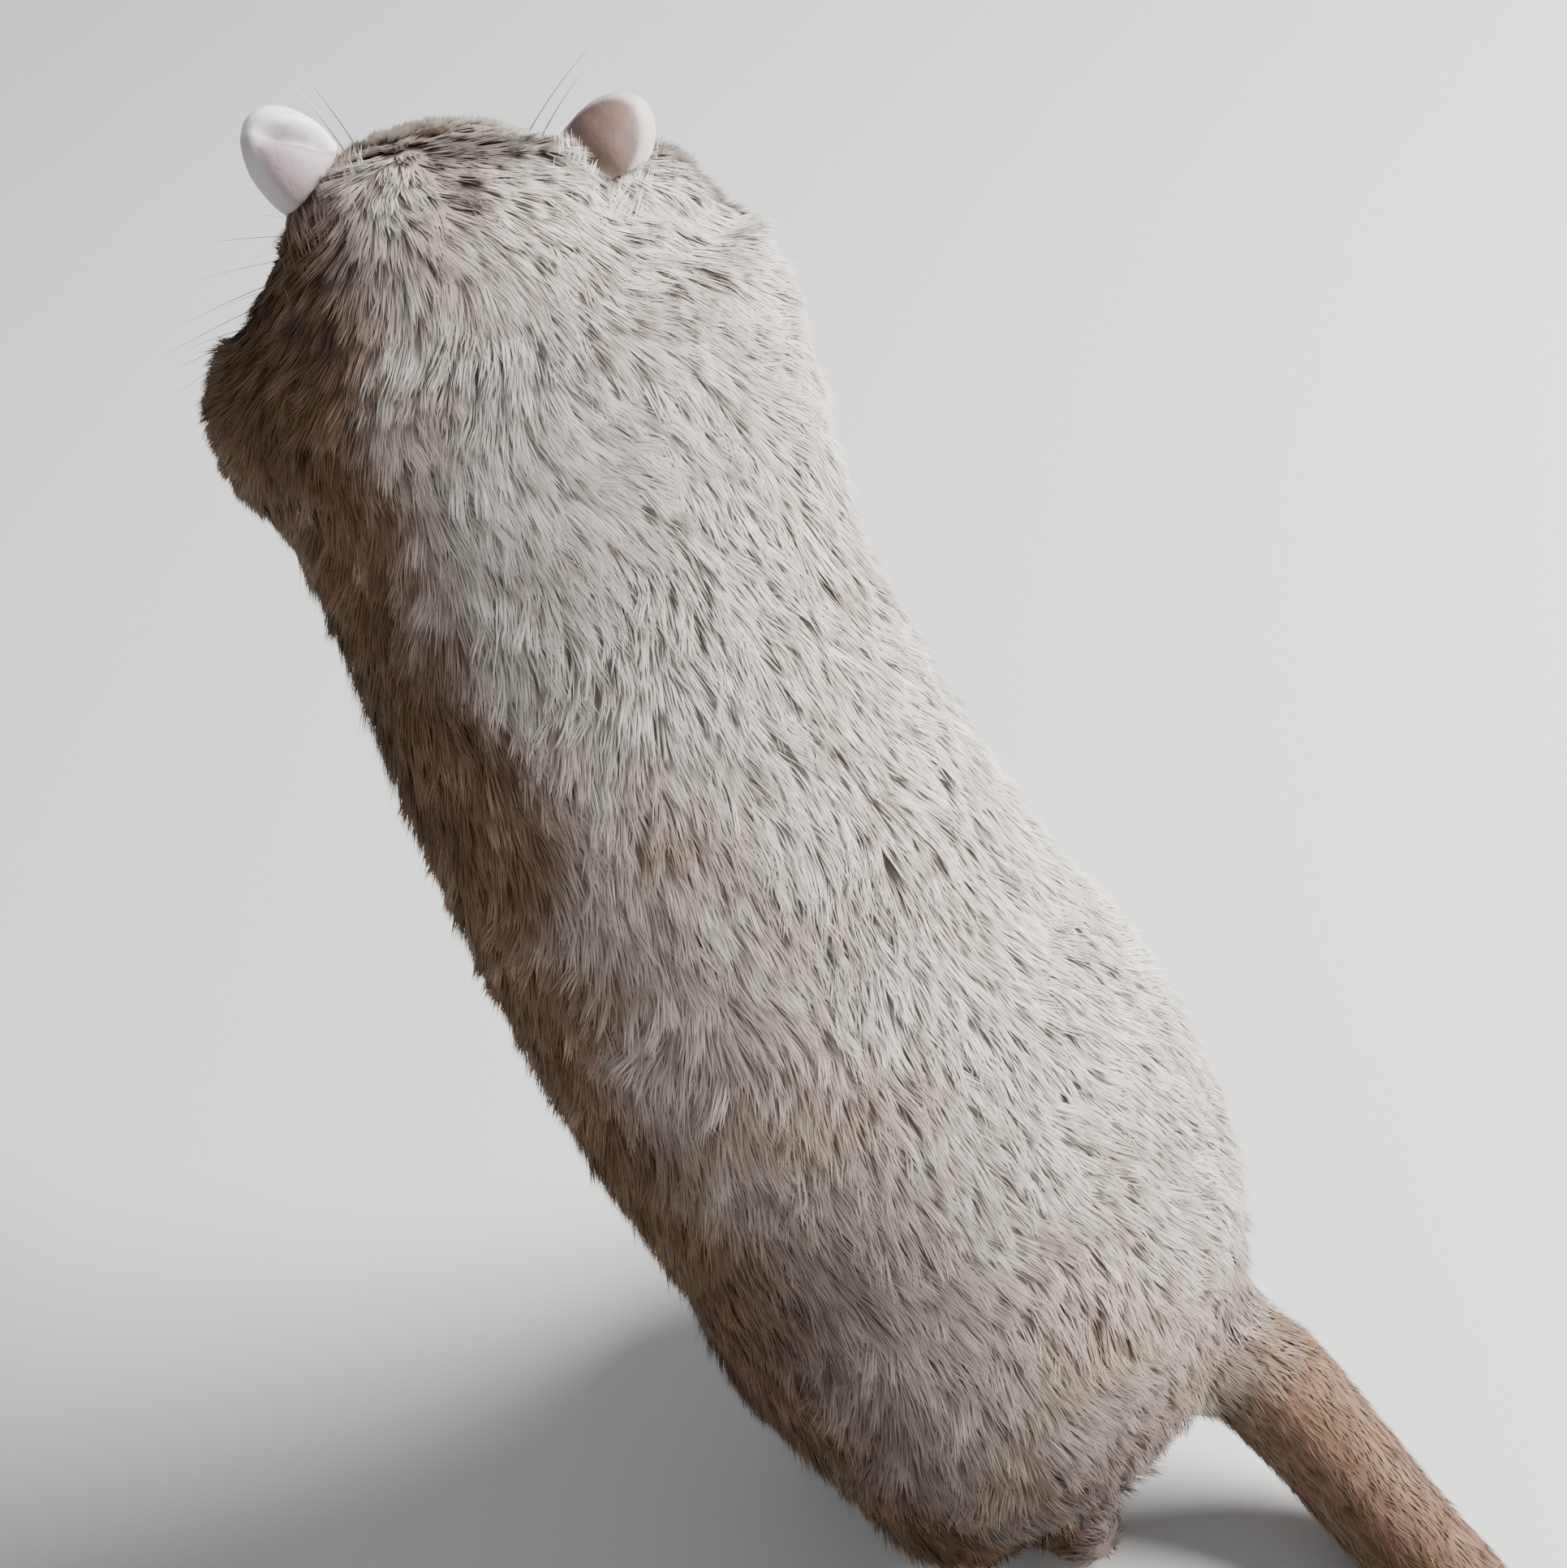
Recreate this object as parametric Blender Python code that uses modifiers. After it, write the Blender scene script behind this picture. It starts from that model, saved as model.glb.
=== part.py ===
# Still, life-size model of an adult Mongolian gerbil, stretched upright on its hind feet.
# The animal faces +Y, its right side is +X, and it stands on the plane Z = 0.
import math
import random

import bmesh
import bpy
from mathutils import Matrix, Vector
from mathutils.bvhtree import BVHTree

# Driving dimensions, in millimetres until they are scaled to metres
MM = 0.001
GAP = 0.3
PAW_ROOM = 0.4
SMALL_MERGE = 0.02
HALF_SPACE = 320.0

# Segments round each kind of piece, and curve steps between two rows of its table
TRUNK_SEGMENTS = 40
HEAD_SEGMENTS = 32
BALL_SEGMENTS = 24
EYE_SEGMENTS = 20
NOSTRIL_SEGMENTS = 12
LID_SEGMENTS = (24, 8)
CLAW_SEGMENTS = 6
TRUNK_STEPS = 5
HEAD_STEPS = 4
TUBE_STEPS = 6
DIGIT_STEPS = 3
MOUTH_STEPS = 2

# Trunk from rump to throat: centre, half width, depth towards the back, depth towards the belly
TRUNK = (
    (7.4, -18.8, 13.4, 12.6, 7.0, 7.5),
    (6.8, -16.8, 19.0, 18.2, 11.5, 12.0),
    (5.6, -12.5, 27.5, 21.2, 16.5, 16.5),
    (4.4, -7.0, 40.0, 21.9, 17.5, 18.0),
    (1.5, 0.0, 54.0, 20.6, 17.0, 17.0),
    (0.1, 6.0, 67.0, 19.1, 16.0, 16.0),
    (0.2, 12.0, 79.0, 18.0, 15.5, 15.5),
    (1.7, 16.5, 87.0, 18.0, 14.5, 14.5),
    (2.4, 20.0, 94.0, 18.5, 13.5, 13.5),
    (2.2, 22.9, 100.0, 17.5, 12.2, 12.5),
    (2.6, 24.3, 104.5, 13.3, 10.2, 10.0),
)
# Folds of loose skin, pushed up behind the right ear by the turned head and drawn out at the left
NAPE_FOLDS = (
    ((11.9, 19.0, 101.8), (6.4, 5.8, 6.3)),
    ((-5.9, 27.6, 101.4), (5.1, 5.4, 5.8)),
)

# The breast turns to the right with the head, from this height up to that one
TWIST_FROM = 50.0
TWIST_TO = 90.0

# Head: its centre and turn, then sections along the nose axis
HEAD_CENTRE = (2.4, 25.5, 100.4)
HEAD_YAW = -31
HEAD_PITCH = -15
HEAD_ROLL = 10
# Place along the axis, half width, height above and depth below it
HEAD = (
    (-12.5, 6.5, 5.0, 6.0),
    (-10.5, 9.4, 8.2, 9.0),
    (-5.5, 11.6, 10.6, 10.6),
    (0.5, 12.0, 11.1, 11.4),
    (6.5, 11.0, 10.2, 10.8),
    (12.0, 9.0, 8.2, 9.4),
    (17.5, 6.6, 5.2, 7.2),
    (22.0, 5.0, 3.2, 5.4),
    (25.0, 3.4, 1.8, 3.8),
    (26.2, 1.6, 0.9, 2.0),
)
CHEEK = (6.6, 5.5, -4.2)
CHEEK_SIZE = (5.0, 6.8, 6.4)
LIP_PAD = (2.9, 20.9, -2.3)
LIP_PAD_SIZE = (3.5, 4.6, 3.3)
CHIN = (0.0, 17.6, -6.1)
CHIN_SIZE = (3.6, 5.2, 2.8)
NOSE_PAD = (0.0, 25.7, -0.4)
NOSE_PAD_SIZE = (1.9, 1.3, 1.5)
NOSTRIL = (1.25, 26.6, -0.5)
NOSTRIL_SIZE = (0.75, 0.8, 0.42)
PHILTRUM = (0.0, 26.0, -3.0)
PHILTRUM_SIZE = (0.4, 2.4, 3.0)
MOUTH_HALF_ANGLE = 70
MOUTH_FROM = 19.5
MOUTH_HEIGHT = -4.9
MOUTH_DROOP = 1.4
MOUTH_LINE = 0.42
MOUTH_POINTS = 8
EYE = (7.5, 10.2, 3.4)
EYE_RADIUS = 3.2
EYE_AIM = (0.86, 0.34, 0.38)
LID_OUT = 1.6
LID_THICK = 0.95
LID_SINK = 0.35
EAR = (9.3, -3.2, 8.7)
EAR_AIM = (0.6, 0.0, 0.8)
EAR_FACE = (0.5, 0.85, -0.2)
EAR_SIZE = (2.9, 2.3, 4.2)
EAR_RIM = 0.6
EAR_THICK = 0.9

# Legs: points of each path with the radius there, as offsets to the left of the pair's middle
SIDES = (-1, 1)
FORE_CENTRE = 1.3
FORE_TURN = -28
FORE_PIVOT = (1.4, 20.0, 0.0)
SHOULDER_BALL = (-12.2, 21.6, 95.6)
SHOULDER_SIZE = (6.9, 8.4, 8.4)
UPPER_ARM = ((-11.8, 22.0, 92.6, 6.2), (-11.4, 24.5, 88.0, 5.8), (-10.6, 26.2, 83.6, 4.6))
FOREARM = (
    (-10.8, 24.6, 83.0, 3.8),
    (-10.4, 28.0, 82.6, 4.2),
    (-8.6, 33.0, 80.6, 3.2),
    (-6.6, 37.4, 78.6, 2.4),
    (-6.0, 38.8, 77.8, 2.2),
)
FOREPAW_PALM = ((-6.1, 38.4, 78.0, 2.0), (-5.5, 40.6, 76.2, 2.6), (-5.0, 41.8, 74.8, 2.3))
FORE_DIGITS = ((-2.0, 2.6), (-0.75, 3.8), (0.75, 3.7), (2.0, 2.4))
FORE_DIGIT_RADIUS = 1.0
FORE_DIGIT_DROP = 3.6
FORE_CLAW = (1.8, 0.42, 0.7)
THIGH = (-11.0, -3.0, 25.0)
THIGH_SIZE = (9.5, 14.0, 15.0)
THIGH_STRIDE = 0.25
HAUNCHES = ((-3.8, -14.6, 17.0), (18.8, -14.2, 18.6))
HAUNCH_SIZE = (8.8, 8.0, 9.4)
HIND_CENTRE = 7.0
STRIDE = (0.0, 8.0)
SHANK = (
    (-11.6, 8.0, 19.6, 4.0),
    (-11.4, 4.4, 17.0, 6.2),
    (-10.0, -4.0, 12.5, 5.8),
    (-6.2, -13.0, 8.2, 4.4),
    (-3.6, -18.2, 5.4, 3.2),
)
SHANK_STRIDE = (0.25, 0.35, 0.6, 0.85, 1.0)
HINDFOOT = (
    (-3.0, -22.2, 3.4, 1.6),
    (-3.3, -19.6, 3.2, 3.1),
    (-4.7, -11.5, 2.7, 2.9),
    (-6.2, -3.8, 2.6, 3.0),
    (-7.2, 1.4, 2.4, 3.1),
)
HIND_DIGITS = ((-3.0, 2.6), (-1.8, 6.0), (-0.1, 6.9), (1.7, 6.3), (3.0, 2.9))
HIND_DIGIT_RADIUS = 1.6
HIND_DIGIT_DROP = 0.9
HIND_CLAW = (2.6, 0.55, 0.25)
CLAW_SHOWS = 0.38
CLAW_TIP = 0.25

# How wide the digits of a front or hind paw fan out, then each digit's forms from root to end:
# share of its offset across, share of its reach, share of its drop, share of its radius
FORE_SPREAD = 0.35
HIND_SPREAD = 0.45
DIGIT_ROOT_ACROSS = 0.6
DIGIT_MIDDLE = 0.45
DIGIT_MIDDLE_DROP = 0.3
DIGIT_THINS = (1.0, 0.85, 0.62)
FLOOR = 0.4

# Tail from inside the rump to its tip, with its radius
TAIL = (
    (9.0, -17.0, 20.0, 5.6),
    (14.4, -21.6, 19.0, 5.3),
    (17.2, -25.6, 15.8, 5.0),
    (18.6, -29.2, 11.4, 4.8),
    (19.2, -33.2, 7.4, 4.6),
    (18.6, -39.0, 5.0, 4.4),
    (16.0, -50.0, 4.1, 4.2),
    (10.6, -64.0, 3.7, 3.9),
    (4.4, -78.0, 3.3, 3.5),
    (0.6, -90.0, 2.9, 2.9),
    (-0.6, -98.0, 2.4, 1.8),
)
TAIL_CUTS = (1.9, 5.2, 7.4)
TAIL_CONE_ROWS = 4
STUB_BLOCK = (15.0, 15.0, 16.0)

# Tuft: rings of locks near the tail's end, each a place along its path, a count and a first angle
TUFT = ((7.9, 5, 0.0), (8.5, 5, 20.0), (9.1, 5, 5.0), (9.6, 4, 25.0), (9.9, 2, 45.0))
TUFT_FAN = 200
LOCK_LENGTH = 11.5
LOCK_WIDTH = 2.3
LOCK_THICK = 1.0
LOCK_LIFT = 0.2
LOCK_BED = 0.72
LOCK_STRAYS = 6
LOCK_LENGTHS = (0.85, 1.1)
LOCK_FORM = ((-0.1, 0.8), (0.35, 1.0), (0.75, 0.6), (1.0, 0.16))
LOCK_SEED = 5

# How fine each skin is melted, about how many triangles it keeps, and its rounds of smoothing
BODY_ROUNDS = 6
HEAD_ROUNDS = 4
SMALL_ROUNDS = 2
BODY_VOXEL = 0.7
BODY_TRIANGLES = 3300
HEAD_VOXEL = 0.42
HEAD_TRIANGLES = 3000
ROOM_TRIANGLES = 6000
LIMB_VOXEL = 0.6
ARM_TRIANGLES = 460
LEG_TRIANGLES = 560
EAR_VOXEL = 0.3
EAR_TRIANGLES = 420
PAW_VOXEL = 0.28
PAW_TRIANGLES = 480
FOOT_VOXEL = 0.36
FOOT_TRIANGLES = 600

# Planes that part the trunk: a point, then the normal that looks towards the head
HEAD_PLANE = ((0.9, 22.0, 99.6), (0.44, 0.74, 0.5))
NECK_PLANE = ((0.4, 16.5, 88.0), (0.1, 0.45, 0.89))
CHEST_PLANE = ((1.8, 4.0, 62.0), (-0.05, 0.42, 0.91))
RUMP_PLANE = ((4.2, -8.0, 37.0), (-0.1, 0.45, 0.89))

COLOURS = {
    "fur_silver": ((0.62, 0.59, 0.55, 1.0), 0.85),
    "skin_pink": ((0.66, 0.47, 0.43, 1.0), 0.55),
    "tail_brown": ((0.36, 0.27, 0.21, 1.0), 0.7),
    "eye_black": ((0.012, 0.01, 0.01, 1.0), 0.08),
}


def clear_scene():
    for obj in list(bpy.data.objects):
        bpy.data.objects.remove(obj, do_unlink=True)
    part = bpy.data.collections.new("gerbil")
    bpy.context.scene.collection.children.link(part)
    return part


def add_object(name, mesh):
    obj = bpy.data.objects.new(name, mesh)
    PART.objects.link(obj)
    return obj


def evaluated_mesh(obj):
    bpy.context.view_layer.update()
    depsgraph = bpy.context.evaluated_depsgraph_get()
    mesh = bpy.data.meshes.new_from_object(obj.evaluated_get(depsgraph))
    mesh.transform(obj.matrix_world)
    return mesh


def apply_all(obj):
    mesh = evaluated_mesh(obj)
    obj.modifiers.clear()
    obj.matrix_world = Matrix.Identity(4)
    obj.data = mesh
    return obj


def drop(obj):
    bpy.data.objects.remove(obj, do_unlink=True)


def duplicate(obj, name):
    return add_object(name, obj.data.copy())


# Catmull-Rom curve through rows of numbers, so position and radius run smoothly together
def smooth_rows(rows, steps):
    first = [2 * a - b for a, b in zip(rows[0], rows[1])]
    last = [2 * a - b for a, b in zip(rows[-1], rows[-2])]
    padded = [first, *rows, last]
    result = []
    for i in range(1, len(padded) - 2):
        for step in range(steps):
            t = step / steps
            row = []
            for a, b, c, d in zip(padded[i - 1], padded[i], padded[i + 1], padded[i + 2]):
                linear = (c - a) * t
                square = (2 * a - 5 * b + 4 * c - d) * t * t
                cube = (3 * b - a - 3 * c + d) * t ** 3
                row.append(0.5 * (2 * b + linear + square + cube))
            result.append(row)
    result.append(list(rows[-1]))
    return result


# Closed body through rings of points, with a flat cap at each end
def skin_rings(name, rings):
    bm = bmesh.new()
    rows = [[bm.verts.new(point) for point in ring] for ring in rings]
    for lower, upper in zip(rows[:-1], rows[1:]):
        count = len(lower)
        for i in range(count):
            j = (i + 1) % count
            bm.faces.new((lower[i], lower[j], upper[j], upper[i]))
    bm.faces.new(list(reversed(rows[0])))
    bm.faces.new(rows[-1])
    bmesh.ops.recalc_face_normals(bm, faces=bm.faces)
    mesh = bpy.data.meshes.new(name)
    bm.to_mesh(mesh)
    bm.free()
    return add_object(name, mesh)


# Trunk: half-ellipse sections, deeper or shallower on the back than on the belly
def trunk_body():
    rows = smooth_rows(TRUNK, TRUNK_STEPS)
    rings = []
    for i, row in enumerate(rows):
        centre = Vector(row[:3])
        share = min(max((row[2] - TWIST_FROM) / (TWIST_TO - TWIST_FROM), 0.0), 1.0)
        across = Vector((1, 0, 0))
        across.rotate(Matrix.Rotation(math.radians(FORE_TURN) * share, 3, "Z"))
        along = Vector(rows[min(i + 1, len(rows) - 1)][:3]) - Vector(rows[max(i - 1, 0)][:3])
        along.normalize()
        side = (across - along * along.dot(across)).normalized()
        front = side.cross(along) * -1
        ring = []
        for k in range(TRUNK_SEGMENTS):
            angle = 2 * math.pi * k / TRUNK_SEGMENTS
            depth = row[5] if math.sin(angle) > 0 else row[4]
            ring.append(centre + side * row[3] * math.cos(angle) + front * depth * math.sin(angle))
        rings.append(ring)
    return skin_rings("trunk", rings)


def head_matrix():
    turn = Matrix.Rotation(math.radians(HEAD_YAW), 4, "Z")
    turn = turn @ Matrix.Rotation(math.radians(HEAD_PITCH), 4, "X")
    turn = turn @ Matrix.Rotation(math.radians(HEAD_ROLL), 4, "Y")
    return Matrix.Translation(HEAD_CENTRE) @ turn


def mirrored(point, side):
    return Vector((point[0] * side, point[1], point[2]))


def head_body():
    rings = []
    for along, width, above, below in smooth_rows(HEAD, HEAD_STEPS):
        ring = []
        for k in range(HEAD_SEGMENTS):
            angle = 2 * math.pi * k / HEAD_SEGMENTS
            height = above if math.sin(angle) > 0 else below
            ring.append(HEAD_FRAME @ Vector((width * math.cos(angle), along, height * math.sin(angle))))
        rings.append(ring)
    return skin_rings("skull", rings)


def ball(name, centre, size, frame=Matrix.Identity(4), segments=BALL_SEGMENTS):
    bm = bmesh.new()
    bmesh.ops.create_uvsphere(bm, u_segments=segments, v_segments=segments // 2, radius=1.0)
    place = frame @ Matrix.Translation(centre) @ Matrix.Diagonal((*size, 1.0))
    bmesh.ops.transform(bm, matrix=place, verts=bm.verts)
    mesh = bpy.data.meshes.new(name)
    bm.to_mesh(mesh)
    bm.free()
    return add_object(name, mesh)


def box(name, size, place):
    bm = bmesh.new()
    bmesh.ops.create_cube(bm, size=1.0)
    bmesh.ops.transform(bm, matrix=place @ Matrix.Diagonal((*size, 1.0)), verts=bm.verts)
    mesh = bpy.data.meshes.new(name)
    bm.to_mesh(mesh)
    bm.free()
    return add_object(name, mesh)


# Round tube along a smoothed path whose fourth number is its radius
def tube(name, path, grow=0.0, steps=TUBE_STEPS, resolution=3):
    rows = smooth_rows(path, steps)
    curve = bpy.data.curves.new(name, "CURVE")
    curve.dimensions = "3D"
    curve.bevel_depth = 1.0
    curve.bevel_resolution = resolution
    curve.use_fill_caps = True
    spline = curve.splines.new("POLY")
    spline.points.add(len(rows) - 1)
    for point, row in zip(spline.points, rows):
        point.co = (row[0], row[1], row[2], 1.0)
        point.radius = row[3] + grow
    temporary = add_object(name, curve)
    mesh = evaluated_mesh(temporary)
    drop(temporary)
    bm = bmesh.new()
    bm.from_mesh(mesh)
    bmesh.ops.remove_doubles(bm, verts=bm.verts, dist=SMALL_MERGE)
    bmesh.ops.recalc_face_normals(bm, faces=bm.faces)
    bm.to_mesh(mesh)
    bm.free()
    return add_object(name, mesh)


# Leg paths are written for the left side about the leg pair's own middle plane
def sided(path, side, centre):
    return [(centre - row[0] * side, *row[1:]) for row in path]


# The forelegs turn with the breast
def fore_path(path, side):
    rows = [fore_point(row[:3], side) for row in path]
    return [(*point, row[3]) for point, row in zip(rows, path)]


def fore_point(point, side):
    pivot = Vector(FORE_PIVOT)
    place = Vector((FORE_CENTRE - point[0] * side, point[1], point[2])) - pivot
    place.rotate(Matrix.Rotation(math.radians(FORE_TURN), 3, "Z"))
    return tuple(place + pivot)


# The right hind foot stands a step ahead of the left, and its shank follows by shares
def hind_path(path, side, shares):
    step = STRIDE[SIDES.index(side)]
    rows = sided(path, side, HIND_CENTRE)
    return [(row[0], row[1] + step * share, *row[2:]) for row, share in zip(rows, shares)]


def shank_path(side):
    return hind_path(SHANK, side, SHANK_STRIDE)


def sole_path(side):
    return hind_path(HINDFOOT, side, [1] * len(HINDFOOT))


def join(name, pieces):
    bm = bmesh.new()
    for piece in pieces:
        bm.from_mesh(piece.data)
        drop(piece)
    mesh = bpy.data.meshes.new(name)
    bm.to_mesh(mesh)
    bm.free()
    return add_object(name, mesh)


# Soft body: overlapping pieces melted into one skin, smoothed, then made coarse
def melt(name, pieces, voxel, rounds, triangles):
    body = join(name, pieces)
    remesh = body.modifiers.new("melt", "REMESH")
    remesh.mode = "VOXEL"
    remesh.voxel_size = voxel
    smooth = body.modifiers.new("smooth", "SMOOTH")
    smooth.iterations = rounds
    smooth.factor = 0.5
    apply_all(body)
    count = sum(len(face.vertices) - 2 for face in body.data.polygons)
    coarse = body.modifiers.new("coarse", "DECIMATE")
    coarse.ratio = min(1.0, triangles / count)
    apply_all(body)
    return keep_largest(body)


def keep_largest(obj):
    bm = bmesh.new()
    bm.from_mesh(obj.data)
    left = set(bm.verts)
    shells = []
    while left:
        stack = [left.pop()]
        shell = set(stack)
        while stack:
            vert = stack.pop()
            for edge in vert.link_edges:
                other = edge.other_vert(vert)
                if other not in shell:
                    shell.add(other)
                    left.discard(other)
                    stack.append(other)
        shells.append(shell)
    shells.sort(key=shell_size)
    loose = [vert for shell in shells[:-1] for vert in shell]
    bmesh.ops.delete(bm, geom=loose, context="VERTS")
    bm.to_mesh(obj.data)
    bm.free()
    return obj


def shell_size(shell):
    lows = [min(vert.co[axis] for vert in shell) for axis in range(3)]
    highs = [max(vert.co[axis] for vert in shell) for axis in range(3)]
    return math.dist(lows, highs)


def boolean(obj, cutter, operation, solver="EXACT"):
    cut = obj.modifiers.new("cut", "BOOLEAN")
    cut.object = cutter
    cut.operation = operation
    cut.solver = solver
    apply_all(obj)
    return obj


def fuse(obj, extras):
    group = bpy.data.collections.new("extras")
    bpy.context.scene.collection.children.link(group)
    for extra in extras:
        PART.objects.unlink(extra)
        group.objects.link(extra)
    union = obj.modifiers.new("fuse", "BOOLEAN")
    union.operand_type = "COLLECTION"
    union.collection = group
    union.operation = "UNION"
    union.solver = "EXACT"
    apply_all(obj)
    for extra in list(extras):
        drop(extra)
    bpy.data.collections.remove(group)
    return keep_largest(obj)


# Block that fills the side of a plane its normal looks to, starting a little off it
def half_space(plane, side, size=HALF_SPACE):
    point, normal = plane
    normal = Vector(normal).normalized() * side
    turn = normal.to_track_quat("Z", "Y").to_matrix().to_4x4()
    centre = Vector(point) + normal * (size / 2 - GAP / 2)
    return box("half", (size, size, size), Matrix.Translation(centre) @ turn)


def keep_above(obj, plane):
    block = half_space(plane, -1)
    boolean(obj, block, "DIFFERENCE")
    drop(block)
    return keep_largest(obj)


def keep_below(obj, plane):
    block = half_space(plane, 1)
    boolean(obj, block, "DIFFERENCE")
    drop(block)
    return keep_largest(obj)


def grow(obj, distance):
    swell = obj.modifiers.new("swell", "DISPLACE")
    swell.strength = distance
    swell.mid_level = 0.0
    return apply_all(obj)


def subtract(obj, cutters):
    for cutter in cutters:
        boolean(obj, cutter, "DIFFERENCE")
        drop(cutter)
    return keep_largest(obj)


def paint(obj, name, slot):
    colour, roughness = COLOURS[slot]
    material = bpy.data.materials.get(slot)
    if material is None:
        material = bpy.data.materials.new(slot)
        material.use_nodes = True
        shader = material.node_tree.nodes["Principled BSDF"]
        shader.inputs["Base Color"].default_value = colour
        shader.inputs["Roughness"].default_value = roughness
        shader.inputs["Metallic"].default_value = 0.0
    obj.name = name
    obj.data.name = name
    obj.data.materials.clear()
    obj.data.materials.append(material)
    obj.data.shade_smooth()
    NODES.append(obj)
    return obj


def nape_folds():
    return [ball("nape_fold", centre, size) for centre, size in NAPE_FOLDS]


def floor_block():
    return half_space(((0, 0, FLOOR - GAP / 2), (0, 0, -1)), 1)


# Trunk with the back of the head and the first stretch of tail, before it is parted
def whole_body():
    pieces = [trunk_body(), head_body(), *nape_folds()]
    pieces.extend(ball("haunch", haunch, HAUNCH_SIZE) for haunch in HAUNCHES)
    pieces.append(tube("tail_cone", TAIL[:TAIL_CONE_ROWS]))
    return melt("trunk", pieces, BODY_VOXEL, BODY_ROUNDS, BODY_TRIANGLES)


# Foreleg: shoulder, upper arm and forearm
def make_arm(side):
    pieces = [
        ball("shoulder", fore_point(SHOULDER_BALL, side), SHOULDER_SIZE),
        tube("upper_arm", fore_path(UPPER_ARM, side)),
        tube("forearm", fore_path(FOREARM, side)),
    ]
    return melt("arm", pieces, LIMB_VOXEL, BODY_ROUNDS, ARM_TRIANGLES)


# Hind leg: thigh and shank
def make_leg(side):
    pieces = [
        ball("thigh", thigh_centre(side), THIGH_SIZE),
        tube("shank", shank_path(side)),
    ]
    return melt("leg", pieces, LIMB_VOXEL, BODY_ROUNDS, LEG_TRIANGLES)


def thigh_centre(side):
    step = STRIDE[SIDES.index(side)] * THIGH_STRIDE
    return (HIND_CENTRE - THIGH[0] * side, THIGH[1] + step, THIGH[2])


def grown(size, extra):
    return [value + extra for value in size]


# Finer skin of the head, on the trunk that it grows from
def head_skin():
    pieces = [trunk_body(), head_body(), *nape_folds()]
    pieces.append(ball("chin", CHIN, CHIN_SIZE, HEAD_FRAME))
    pieces.append(ball("nose", NOSE_PAD, NOSE_PAD_SIZE, HEAD_FRAME))
    for side in SIDES:
        pieces.append(ball("cheek", mirrored(CHEEK, side), CHEEK_SIZE, HEAD_FRAME))
        pieces.append(ball("lip_pad", mirrored(LIP_PAD, side), LIP_PAD_SIZE, HEAD_FRAME))
        pieces.append(lid_ring(side))
    return melt("head", pieces, HEAD_VOXEL, HEAD_ROUNDS, HEAD_TRIANGLES)


# Head, parted from the neck behind the ears and under the jaw
def make_head(skin):
    head = keep_above(duplicate(skin, "head"), HEAD_PLANE)
    grooves = [mouth_groove(head)]
    grooves.append(box("philtrum", PHILTRUM_SIZE, HEAD_FRAME @ Matrix.Translation(PHILTRUM)))
    for side in SIDES:
        grooves.append(ball("nostril", mirrored(NOSTRIL, side), NOSTRIL_SIZE, HEAD_FRAME, NOSTRIL_SEGMENTS))
    for side in SIDES:
        socket = [EYE_RADIUS + GAP] * 3
        grooves.append(ball("socket", mirrored(EYE, side), socket, HEAD_FRAME))
    return subtract(head, grooves)


# The room that ears and forelegs keep clear for the head, melted again so its folds stay clean
def head_room(skin):
    swollen = grow(duplicate(skin, "swollen"), GAP)
    room = melt("head_room", [swollen], HEAD_VOXEL, SMALL_ROUNDS, ROOM_TRIANGLES)
    point, normal = HEAD_PLANE
    behind = Vector(point) - Vector(normal).normalized() * GAP
    return keep_above(room, (behind, normal))


# Lid: a ring round the eye, turned to where the eye looks, its tube just outside the socket
def lid_ring(side):
    aim = (HEAD_FRAME.to_3x3() @ mirrored(EYE_AIM, side)).normalized()
    reach = EYE_RADIUS + GAP + LID_THICK * LID_SINK
    bpy.ops.mesh.primitive_torus_add(
        major_radius=math.sqrt(reach ** 2 - LID_OUT ** 2),
        minor_radius=LID_THICK,
        major_segments=LID_SEGMENTS[0],
        minor_segments=LID_SEGMENTS[1],
        location=HEAD_FRAME @ mirrored(EYE, side) + aim * LID_OUT,
        rotation=aim.to_track_quat("Z", "Y").to_euler(),
    )
    ring = bpy.context.active_object
    for group in list(ring.users_collection):
        group.objects.unlink(ring)
    PART.objects.link(ring)
    return apply_all(ring)


# Line of the mouth: a fine tube laid along the surface under the lip pads
def mouth_groove(head):
    bm = bmesh.new()
    bm.from_mesh(head.data)
    tree = BVHTree.FromBMesh(bm)
    path = []
    for step in range(-MOUTH_POINTS, MOUTH_POINTS + 1):
        share = step / MOUTH_POINTS
        angle = math.radians(MOUTH_HALF_ANGLE) * share
        height = MOUTH_HEIGHT - MOUTH_DROOP * share ** 2
        start = HEAD_FRAME @ Vector((0, MOUTH_FROM, height))
        way = HEAD_FRAME.to_3x3() @ Vector((math.sin(angle), math.cos(angle), 0))
        hit = tree.ray_cast(start, way)[0]
        path.append((*hit, MOUTH_LINE))
    bm.free()
    return tube("mouth", path, steps=MOUTH_STEPS, resolution=1)


def make_eye(side):
    return ball("eye", mirrored(EYE, side), [EYE_RADIUS] * 3, HEAD_FRAME, EYE_SEGMENTS)


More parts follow.
